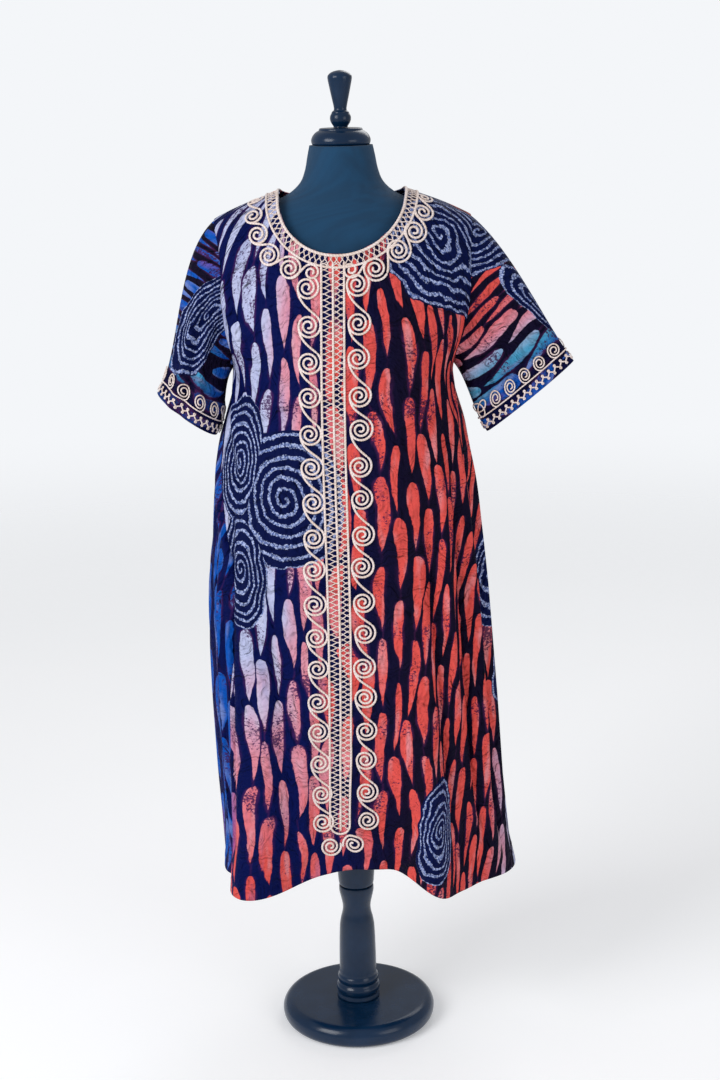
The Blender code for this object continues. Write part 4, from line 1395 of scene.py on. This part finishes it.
def sample(grid, row, column):
    """Points of a grid at places between its rows and columns."""
    row = np.clip(row, 0.0, grid.shape[0] - 1.001)
    column = np.clip(column, 0.0, grid.shape[1] - 1.001)
    low = row.astype(int)
    left = column.astype(int)
    up = (row - low)[..., None]
    over = (column - left)[..., None]
    first = grid[low, left] * (1 - over) + grid[low, left + 1] * over
    second = grid[low + 1, left] * (1 - over) + grid[low + 1, left + 1] * over
    return first * (1 - up) + second * up


def neck_strip(front):
    """Outer points of the strip round the neckline: rows along it, columns outwards."""
    drop = FRONT_NECK_DROP if front else BACK_NECK_DROP
    turns = np.linspace(-NECK_BAND_TURN, NECK_BAND_TURN, NECK_BAND_ROWS)
    x, z = neckline(turns, front)
    out_x = np.sin(turns) / NECK_HALF_WIDTH
    out_z = -np.cos(turns) / drop
    length = np.hypot(out_x, out_z)
    reach = NECK_BAND_START + NECK_BAND_WIDTH * np.linspace(0, 1, 9)
    x_all = x[:, None] + (out_x / length)[:, None] * reach
    z_all = z[:, None] + (out_z / length)[:, None] * reach
    seam_x = NECK_HALF_WIDTH + reach
    seam_z = shoulder_height(seam_x)
    share = (1 - (1 - np.linspace(0, 1, 25)[1:]) ** 2)[:, None]
    before_x = (x_all[0] + (-seam_x - x_all[0]) * share)[::-1]
    before_z = (z_all[0] + (seam_z - z_all[0]) * share)[::-1]
    after_x = x_all[-1] + (seam_x - x_all[-1]) * share
    after_z = z_all[-1] + (seam_z - z_all[-1]) * share
    x_all = np.vstack([before_x, x_all, after_x])
    z_all = np.vstack([before_z, z_all, after_z])
    grid = dress_surface(angle_at(x_all, z_all, front), z_all)
    normal = facing(normals_of(grid), grid - NECK_INSIDE)
    return grid + normal * CLOTH_WALL, normal


def neck_band(front, settings):
    """Bundles of one half of the neck band: inner cord, outer cord and squiggle."""
    strip, normal = neck_strip(front)
    rows, columns = strip.shape[:2]
    radius = settings.cord_width / 2
    flat = settings.flatness
    run = lengths_along(strip, 0)[:, columns // 2]

    def lay(length, column, cord_radius):
        row = np.interp(length, run, np.arange(rows))
        upward = unit(sample(normal, row, column))
        path = sample(strip, row, column) + upward * (cord_radius * flat * CORD_LIFT)
        return path[None], upward[None]

    straight = np.linspace(0.0, run[-1], NECK_BAND_POINTS)
    bundles = [
        (*lay(straight, np.full_like(straight, column), radius), radius * wide, flat)
        for column, wide in ((NECK_BAND_INNER, NECK_BAND_WIDER), (columns - NECK_BAND_OUTER, 1.0))
    ]
    end = run[-1] - NECK_BAND_MARGIN
    length, side = squiggle(NECK_BAND_MARGIN, end, 1.0, settings.squiggle_period, NECK_BAND_CURL)
    thin = settings.squiggle_width / 2
    column = (columns - 1) / 2 + side * (columns * NECK_BAND_REACH)
    bundles.append((*lay(length, column, thin), thin, flat))
    return bundles


def neck_scrolls(side, sheets, settings):
    """Bundles of the spirals outside the neck band, drawn flat on the cloth at each place."""
    radius = settings.cord_width / 2
    flat = settings.flatness
    pitch = settings.scroll_pitch
    table = np.array(NECK_SCROLLS[side])[::-1]
    radii = table[:, 2]
    centre, normal = front_frame(table[:, 0], table[:, 1])
    gaps = np.gradient(table[:, :2], axis=0)
    progress = np.degrees(np.arctan2(gaps[:, 1], gaps[:, 0]))
    right = unit(np.cross(np.cross(normal, [1.0, 0.0, 0.0]), normal))
    above = np.cross(normal, right)
    above = above * np.sign(above[:, 2:3])
    outer, outer_normals = (
        np.concatenate([sheet[part].reshape(-1, 3) for sheet in sheets]) for part in (0, 1)
    )

    def turned(place, shape):
        """Flat arrows as arrows in the cloth's plane at one of the scrolls."""
        return shape[..., :1] * right[place] + shape[..., 1:] * above[place]

    spirals, arms = [], []
    for place, heading in enumerate(progress):
        start = heading + SCROLL_STAGGER
        spirals.append(centre[place] + turned(place, scroll_shape(radii[place], pitch, start)))
        if place == 0:
            continue
        before = place - 1
        leave_at, leave, enter_at, arrive = arm_ends(
            progress[before], radii[before], start, radii[place], pitch, NECK_ARM_PULL, NECK_ARM_PULL
        )
        arms.append(curve_between(
            centre[before] + turned(before, leave_at), turned(before, leave),
            centre[place] + turned(place, enter_at), turned(place, arrive),
        ))
    bundles = []
    for paths in (np.array(spirals), np.array(arms)):
        laid, upward = lay_on(paths, outer, outer_normals)
        bundles.append((laid + upward * (radius * flat * CORD_LIFT), upward, radius, flat))
    return bundles


def cuff_cords(name, settings):
    """Bundles of a cuff: a straight cord, spirals standing on it, and a meander below."""
    grid, places, normal = sleeve_sheet(name)
    normal = wrap(normal)
    outer = wrap(grid) + normal * CLOTH_WALL
    rows, columns = outer.shape[:2]
    spacing = places[rows - 1 - CUFF_ROWS, :, 0] / CUFF_ROWS
    around = places[-1, :, 1]
    girth = around[-1]
    radius = settings.cuff_cord_width / 2
    flat = settings.flatness

    def lay(length, from_hem):
        column = np.interp(np.mod(length, girth), around, np.arange(columns))
        row = rows - 1 - from_hem / np.interp(column, np.arange(columns), spacing)
        upward = unit(sample(normal, row, column))
        path = sample(outer, row, column) + upward * (radius * flat * CORD_LIFT)
        return path, upward, radius, flat

    straight = np.linspace(0.0, girth * CUFF_ROUND, 300)[None]
    count = int(round(girth / CUFF_SCROLL_SPACING))
    pitch = CUFF_SCROLL_RADIUS / CUFF_SCROLL_TURNS
    shape = scroll_shape(CUFF_SCROLL_RADIUS, pitch, -90.0, points=80)
    at = (np.arange(1, count) + CUFF_SCROLL_SHIFT)[:, None] * girth / count
    knot = np.linspace(0.0, 2 * math.pi, 90)[None]
    knot_across = (np.sin(knot) + 2 * np.sin(2 * knot)) * CUFF_KNOT_SIZE
    knot_up = (np.cos(knot) - 2 * np.cos(2 * knot)) * CUFF_KNOT_SIZE
    length, swing = squiggle(
        0.0, girth * CUFF_ROUND, CUFF_MEANDER_SWING, CUFF_MEANDER_PERIOD, CUFF_MEANDER_CURL, 20
    )
    return [
        lay(straight, np.full_like(straight, CUFF_LINE)),
        lay(at + shape[None, :, 0], CUFF_SCROLL_HEIGHT + 0.0 * at + shape[None, :, 1]),
        lay(knot_across + CUFF_SCROLL_SHIFT * girth / count, knot_up + CUFF_SCROLL_HEIGHT),
        lay(length[None], CUFF_MEANDER_HEIGHT + swing[None]),
    ]


# ------------------------------------------------------------------ the form and the stand

def torso_sheet():
    """Smooth oval sections of the form's body, with their places round and up."""
    low = TORSO["height"][0]
    high = TORSO["height"][-1]
    heights = np.linspace(low, high, TORSO_ROWS + 1)[:, None]
    turn = np.linspace(-math.pi, math.pi, TORSO_SEGMENTS, endpoint=False)[None, :]
    half = along(TORSO, "height", "half", heights)
    square = along(TORSO, "height", "square", heights)
    front = along(TORSO, "height", "front", heights)
    back = along(TORSO, "height", "back", heights)
    depth = np.where(np.cos(turn) >= 0, front, back)
    x = half * np.sign(np.sin(turn)) * np.abs(np.sin(turn)) ** (2 / square)
    y = -depth * np.sign(np.cos(turn)) * np.abs(np.cos(turn)) ** (2 / square)
    grid = np.stack([x, y, heights + 0.0 * x], -1)
    caps = []
    for end in (grid[:1], grid[-1:]):
        middle = np.tile(end.mean(axis=1, keepdims=True), (1, TORSO_SEGMENTS, 1))
        caps.append((middle, middle + (end - middle) * TORSO_CAP_INSET))
    grid = np.concatenate([*caps[0], grid, *caps[1][::-1]])
    return grid, round_places(grid)


def soften(profile, most):
    """A turned profile with each inner corner cut back twice, so its edges are eased."""
    points = np.array(profile)
    for reach in (most, most / 2.5):
        before = points[1:-1] - points[:-2]
        after = points[2:] - points[1:-1]
        cut_before, cut_after = (
            np.minimum(np.linalg.norm(side, axis=1) * TURNED_EDGE_SHARE, reach)[:, None]
            for side in (before, after)
        )
        first = points[1:-1] - unit(before) * cut_before
        second = points[1:-1] + unit(after) * cut_after
        inner = np.stack([first, second], 1).reshape(-1, 2)
        points = np.concatenate([points[:1], inner, points[-1:]])
    return points


def turned_sheet(profile):
    """A profile swept round Z, as a grid with its places round and down."""
    points = soften(profile, TURNED_EDGE)
    turn = np.linspace(0.0, 2 * math.pi, TURNED_STEPS, endpoint=False)[None, :]
    x = points[:, :1] * np.cos(turn)
    y = points[:, :1] * np.sin(turn)
    grid = np.stack([x, y, points[:, 1:] + 0.0 * x], -1)
    return grid, round_places(grid)


def add_closed(name, grid, places, material, flip=False):
    """A closed round piece from a grid whose first and last rows meet at a point."""
    made = add_grid(name, grid, places, material, True, flip)
    weld = made.modifiers.new("poles", "WELD")
    weld.merge_threshold = 0.00002
    return made


# ------------------------------------------------------------------ settings

def number(name, description, default, **kind):
    """A number in the sidebar."""
    return bpy.props.FloatProperty(name=name, description=description, default=default, **kind)


def length_of(name, description, default):
    """A length in metres in the sidebar."""
    return number(name, description, default, unit="LENGTH")


def three_of(name, description, default, subtype):
    """A colour or a place in the sidebar."""
    return bpy.props.FloatVectorProperty(
        name=name, description=description, default=default, size=3, subtype=subtype
    )


class DressPrintSettings(bpy.types.PropertyGroup):
    """Sizes of the wax print."""

    cell_width: length_of("Cell width", "Spacing of the columns of cells", 0.0280)
    cell_length: length_of("Cell length", "Height of one cell and its gap", 0.130)
    thread_spacing: length_of("Thread spacing", "Warp and weft pitch of the cotton", 0.0007)


class DressCordSettings(bpy.types.PropertyGroup):
    """Sizes of the couched cords."""

    cord_width: length_of("Cord width", "Width of the scroll and edge cords", 0.0038)
    squiggle_width: length_of("Squiggle width", "Width of the looped cord in the bands", 0.0017)
    cuff_cord_width: length_of("Cuff cord width", "Width of the cords on the cuffs", 0.0024)
    squiggle_period: length_of("Squiggle period", "Length of one loop in the bands", 0.0090)
    scroll_radius: length_of("Scroll radius", "Outer radius of a placket scroll", 0.0190)
    scroll_pitch: length_of("Scroll pitch", "Distance between a scroll's turns", 0.0068)
    flatness: number("Flatness", "Cord height as a share of its width", 0.75, subtype="FACTOR")
    ply_length: length_of("Ply length", "Length of one turn of the two plies", 0.0050)


class DressFormSettings(bpy.types.PropertyGroup):
    """Colours of the form and its stand."""

    jersey: three_of("Jersey", "Colour of the form's cover", from_screen(22, 66, 100), "COLOR")
    lacquer: three_of("Lacquer", "Colour of the turned pieces", from_screen(4, 34, 62), "COLOR")


class DressStageSettings(bpy.types.PropertyGroup):
    """Camera and light."""

    camera_place: three_of("Camera", "Where the camera stands", (-0.007, -3.016, 1.643), "TRANSLATION")
    camera_pitch: number("Pitch", "How far it looks down", math.radians(14.48), subtype="ANGLE")
    camera_yaw: number("Yaw", "How far it looks towards +X", math.radians(0.474), subtype="ANGLE")
    camera_roll: number("Roll", "How far it leans clockwise", math.radians(1.10), subtype="ANGLE")
    lens: number("Lens", "Focal length on a 36 mm sensor, in millimetres", 62.594)
    sky: number("Sky", "Strength of the even studio light", 0.48)
    key: number("Key", "Power of the main softbox", 78.0, unit="POWER")
    fill: number("Fill", "Power of the side softbox", 16.0, unit="POWER")
    rim: number("Rim", "Power of the rear softbox", 14.0, unit="POWER")


# ------------------------------------------------------------------ operators

def places_near(grid, places, medallions, front=True):
    """A table of medallions with x and z turned into the cloth's own places."""
    flat = grid.reshape(-1, 3)
    where = places[:, : grid.shape[1]].reshape(-1, 2)
    table = []
    for x, z, wide, tall, rings, ragged in medallions:
        gap = (flat[:, 0] - x) ** 2 + (flat[:, 2] - z) ** 2
        if front:
            gap = gap + np.where(flat[:, 1] > FRONT_LIMIT, 1.0, 0.0)
        across, up = where[np.argmin(gap)]
        table.append((float(across), float(up), wide, tall, rings, ragged))
    return table


class DRESS_OT_panels(bpy.types.Operator):
    """Build the front and back panels in printed cotton"""

    bl_idname = "dress.panels"
    bl_label = "Dress panels"

    def execute(self, context):
        settings = context.scene.dress_print
        for front, name, zones, medallions in (
            (True, "front", FRONT_ZONES, FRONT_MEDALLIONS),
            (False, "back", BACK_ZONES, BACK_MEDALLIONS),
        ):
            grid, places = panel_sheet(front)
            table = places_near(grid, places, medallions, front)
            seed = 3.0 if front else 11.0
            material = print_finish("print_" + name, zones, table, settings, seed)
            made = add_cloth("panel_" + name, grid, places, material, flip=not front)
            ride_on(made, "print_cotton", "dress_" + name)
            length = float(places[..., 1].max() - places[..., 1].min())
            area = sheet_area(grid)
        return {"FINISHED"}


def sheet_area(grid):
    """Area of a grid of points, as the sum of its faces' cross products."""
    across = grid[1:, 1:] - grid[:-1, :-1]
    up = grid[1:, :-1] - grid[:-1, 1:]
    return float(np.linalg.norm(np.cross(across, up), axis=-1).sum() / 2)


class DRESS_OT_sleeves(bpy.types.Operator):
    """Build both sleeves in printed cotton"""

    bl_idname = "dress.sleeves"
    bl_label = "Dress sleeves"

    def execute(self, context):
        settings = context.scene.dress_print
        for name, seed in (("right", 23.0), ("left", 31.0)):
            grid, places, _ = sleeve_sheet(name)
            table = places_near(grid, places, SLEEVE_MEDALLIONS[name])
            material = print_finish("print_sleeve_" + name, SLEEVE_ZONES[name], table, settings, seed)
            right = name == "right"
            made = add_cloth("sleeve_cloth_" + name, grid, places, material, closed=True, flip=right)
            ride_on(made, "print_cotton", "sleeve_" + name)
            sheet_area(wrap(grid))
        return {"FINISHED"}


class DRESS_OT_placket(bpy.types.Operator):
    """Couch the placket's cords and its two columns of scrolls"""

    bl_idname = "dress.placket"
    bl_label = "Placket cords"

    def execute(self, context):
        settings = context.scene.dress_cords
        material = cord_material(settings)
        made = add_cords("placket_cords", placket_cords(settings), material)
        ride_on(made, "couched_cord", "placket_band")
        for side, bundles in placket_scrolls(settings).items():
            name = "right" if side < 0 else "left"
            made = add_cords("placket_cord_scrolls_" + name, bundles, material)
            ride_on(made, "couched_cord", "placket_scrolls_" + name)
        return {"FINISHED"}


class DRESS_OT_neck(bpy.types.Operator):
    """Couch the neck band and the spirals outside it"""

    bl_idname = "dress.neck"
    bl_label = "Neck cords"

    def execute(self, context):
        settings = context.scene.dress_cords
        material = cord_material(settings)
        sheets = []
        for front in (True, False):
            grid, _ = panel_sheet(front)
            normal = facing(normals_of(grid), (grid - [0.0, 0.0, 1.0]) * [1.0, 1.0, 0.3])
            sheets.append(((grid + normal * CLOTH_WALL)[SKIRT_ROWS:], normal[SKIRT_ROWS:]))
            name = "front" if front else "back"
            made = add_cords("neck_cords_" + name, neck_band(front, settings), material)
            ride_on(made, "couched_cord", "neck_band_" + name)
        for side, name in ((-1.0, "right"), (1.0, "left")):
            bundles = neck_scrolls(side, sheets, settings)
            made = add_cords("neck_cord_scrolls_" + name, bundles, material)
            ride_on(made, "couched_cord", "neck_scrolls_" + name)
        return {"FINISHED"}


class DRESS_OT_cuffs(bpy.types.Operator):
    """Couch the cords round both cuffs"""

    bl_idname = "dress.cuffs"
    bl_label = "Cuff cords"

    def execute(self, context):
        settings = context.scene.dress_cords
        material = cord_material(settings)
        for name in ("right", "left"):
            made = add_cords("cuff_cords_" + name, cuff_cords(name, settings), material)
            ride_on(made, "couched_cord", "cuff_trim_" + name)
        return {"FINISHED"}


class DRESS_OT_form(bpy.types.Operator):
    """Build the form's jersey body and its turned, lacquered pieces"""

    bl_idname = "dress.form"
    bl_label = "Form and stand"

    def execute(self, context):
        settings = context.scene.dress_form
        grid, places = torso_sheet()
        made = add_closed("form_body", grid, places, jersey_finish(settings.jersey))
        ride_on(made, "form_jersey", "form_torso")
        lacquer = lacquer_finish(settings.lacquer)
        for name, profile in TURNED_PROFILES.items():
            grid, places = turned_sheet(profile)
            made = add_closed("turned_" + name, grid, places, lacquer, flip=True)
            ride_on(made, "black_lacquer", name)
        return {"FINISHED"}


class DRESS_OT_stage(bpy.types.Operator):
    """Set the pale floor, the soft studio light and the camera"""

    bl_idname = "dress.stage"
    bl_label = "Stage"

    def execute(self, context):
        settings = context.scene.dress_stage
        scene = context.scene
        scene.view_settings.view_transform = "Standard"
        add_camera(settings, scene)
        add_floor()
        add_sky(settings, scene)
        for name, place, size, power in SOFTBOXES:
            add_softbox(name, place, size, getattr(settings, power))
        return {"FINISHED"}


def stand_at(place, right, up, back):
    """The matrix that stands a camera or light at a place, on its own three arrows."""
    turned = np.eye(4)
    turned[:3, :3] = np.stack([right, up, back], -1)
    turned[:3, 3] = place
    return Matrix(turned.tolist())


def add_camera(settings, scene):
    """A camera turned by yaw and pitch, then rolled about its own line of sight."""
    yaw, pitch, roll = settings.camera_yaw, settings.camera_pitch, settings.camera_roll
    level_reach = math.cos(pitch)
    ahead = np.array([math.sin(yaw) * level_reach, math.cos(yaw) * level_reach, -math.sin(pitch)])
    level = np.array([math.cos(yaw), -math.sin(yaw), 0.0])
    above = np.cross(level, ahead)
    right = level * math.cos(roll) - above * math.sin(roll)
    up = above * math.cos(roll) + level * math.sin(roll)
    camera = bpy.data.cameras.new("camera")
    camera.lens = settings.lens
    camera.sensor_width = 36.0
    made = bpy.data.objects.new("camera", camera)
    made.matrix_world = stand_at(settings.camera_place, right, up, -ahead)
    scene.collection.objects.link(made)
    scene.camera = made


def add_floor():
    """A round pale floor that fades out with distance, so no edge or horizon shows."""
    rings = np.linspace(0.0, FLOOR_RADIUS, 19)[:, None]
    turn = np.linspace(0.0, 2 * math.pi, 64, endpoint=False)[None, :]
    height = 0.0 * rings * turn - FLOOR_DROP
    grid = np.stack([rings * np.cos(turn), rings * np.sin(turn), height], -1)
    finish = Finish("studio_floor")
    place = finish.node("ShaderNodeTexCoord").outputs["Object"]
    length = finish.node("ShaderNodeVectorMath", {"operation": "LENGTH"}, {0: place}).outputs["Value"]
    cloud = finish.noise(place, 1.3, 2.0)
    pale = finish.blend(cloud, from_screen(240, 242, 245), from_screen(246, 247, 250))
    inputs = finish.shader.inputs
    finish.join(pale, inputs["Base Color"])
    inputs["Roughness"].default_value = 0.9
    inputs["Specular IOR Level"].default_value = 0.1
    inputs["Emission Color"].default_value = (1.0, 1.0, 1.0, 1.0)
    inputs["Emission Strength"].default_value = 0.20
    finish.join(finish.value(length).ramp(FLOOR_GONE, FLOOR_SOLID), inputs["Alpha"])
    made = add_closed("studio_floor", grid, wrap(grid)[..., :2], finish.material)


def add_sky(settings, scene):
    """Even white light from all round, with a brighter white where the camera sees it."""
    world = bpy.data.worlds.new("studio")
    world.use_nodes = True
    tree = world.node_tree
    even = tree.nodes["Background"]
    even.inputs["Color"].default_value = (1.0, 1.0, 1.0, 1.0)
    even.inputs["Strength"].default_value = settings.sky
    seen = tree.nodes.new("ShaderNodeBackground")
    seen.inputs["Color"].default_value = (*from_screen(244, 246, 249), 1.0)
    path = tree.nodes.new("ShaderNodeLightPath")
    mix = tree.nodes.new("ShaderNodeMixShader")
    tree.links.new(path.outputs["Is Camera Ray"], mix.inputs[0])
    tree.links.new(even.outputs[0], mix.inputs[1])
    tree.links.new(seen.outputs[0], mix.inputs[2])
    tree.links.new(mix.outputs[0], tree.nodes["World Output"].inputs["Surface"])
    scene.world = world


def add_softbox(name, place, size, power):
    """A square soft light that faces the middle of the dress."""
    light = bpy.data.lights.new(name, "AREA")
    light.size = size
    light.energy = power
    made = bpy.data.objects.new(name, light)
    back = unit(np.array(place) - np.array(SOFTBOXES_FACE))
    right = unit(np.cross([0.0, 0.0, 1.0], back))
    made.matrix_world = stand_at(place, right, np.cross(back, right), back)
    bpy.context.scene.collection.objects.link(made)


class DRESS_PT_sidebar(bpy.types.Panel):
    """The dress's settings and its buttons"""

    bl_idname = "DRESS_PT_sidebar"
    bl_label = "Wax-print dress"
    bl_space_type = "VIEW_3D"
    bl_region_type = "UI"
    bl_category = "Dress"

    def draw(self, context):
        for attribute, _ in SETTINGS:
            group = getattr(context.scene, attribute)
            box = self.layout.box()
            for key in group.bl_rna.properties.keys():
                if key not in ("rna_type", "name"):
                    box.prop(group, key)
        for operator in OPERATORS:
            self.layout.operator(operator.bl_idname)


SETTINGS = (
    ("dress_print", DressPrintSettings),
    ("dress_cords", DressCordSettings),
    ("dress_form", DressFormSettings),
    ("dress_stage", DressStageSettings),
)
OPERATORS = (
    DRESS_OT_stage,
    DRESS_OT_form,
    DRESS_OT_panels,
    DRESS_OT_sleeves,
    DRESS_OT_placket,
    DRESS_OT_neck,
    DRESS_OT_cuffs,
)


def register():
    for attribute, group in SETTINGS:
        bpy.utils.register_class(group)
        setattr(bpy.types.Scene, attribute, bpy.props.PointerProperty(type=group))
    for made in (*OPERATORS, DRESS_PT_sidebar):
        bpy.utils.register_class(made)


def unregister():
    for made in (DRESS_PT_sidebar, *reversed(OPERATORS)):
        bpy.utils.unregister_class(made)
    for attribute, group in reversed(SETTINGS):
        delattr(bpy.types.Scene, attribute)
        bpy.utils.unregister_class(group)


def main():
    register()
    bpy.ops.dress.stage()
    bpy.ops.dress.form()
    bpy.ops.dress.panels()
    bpy.ops.dress.sleeves()
    bpy.ops.dress.placket()
    bpy.ops.dress.neck()
    bpy.ops.dress.cuffs()


if __name__ == "__main__":
    main()
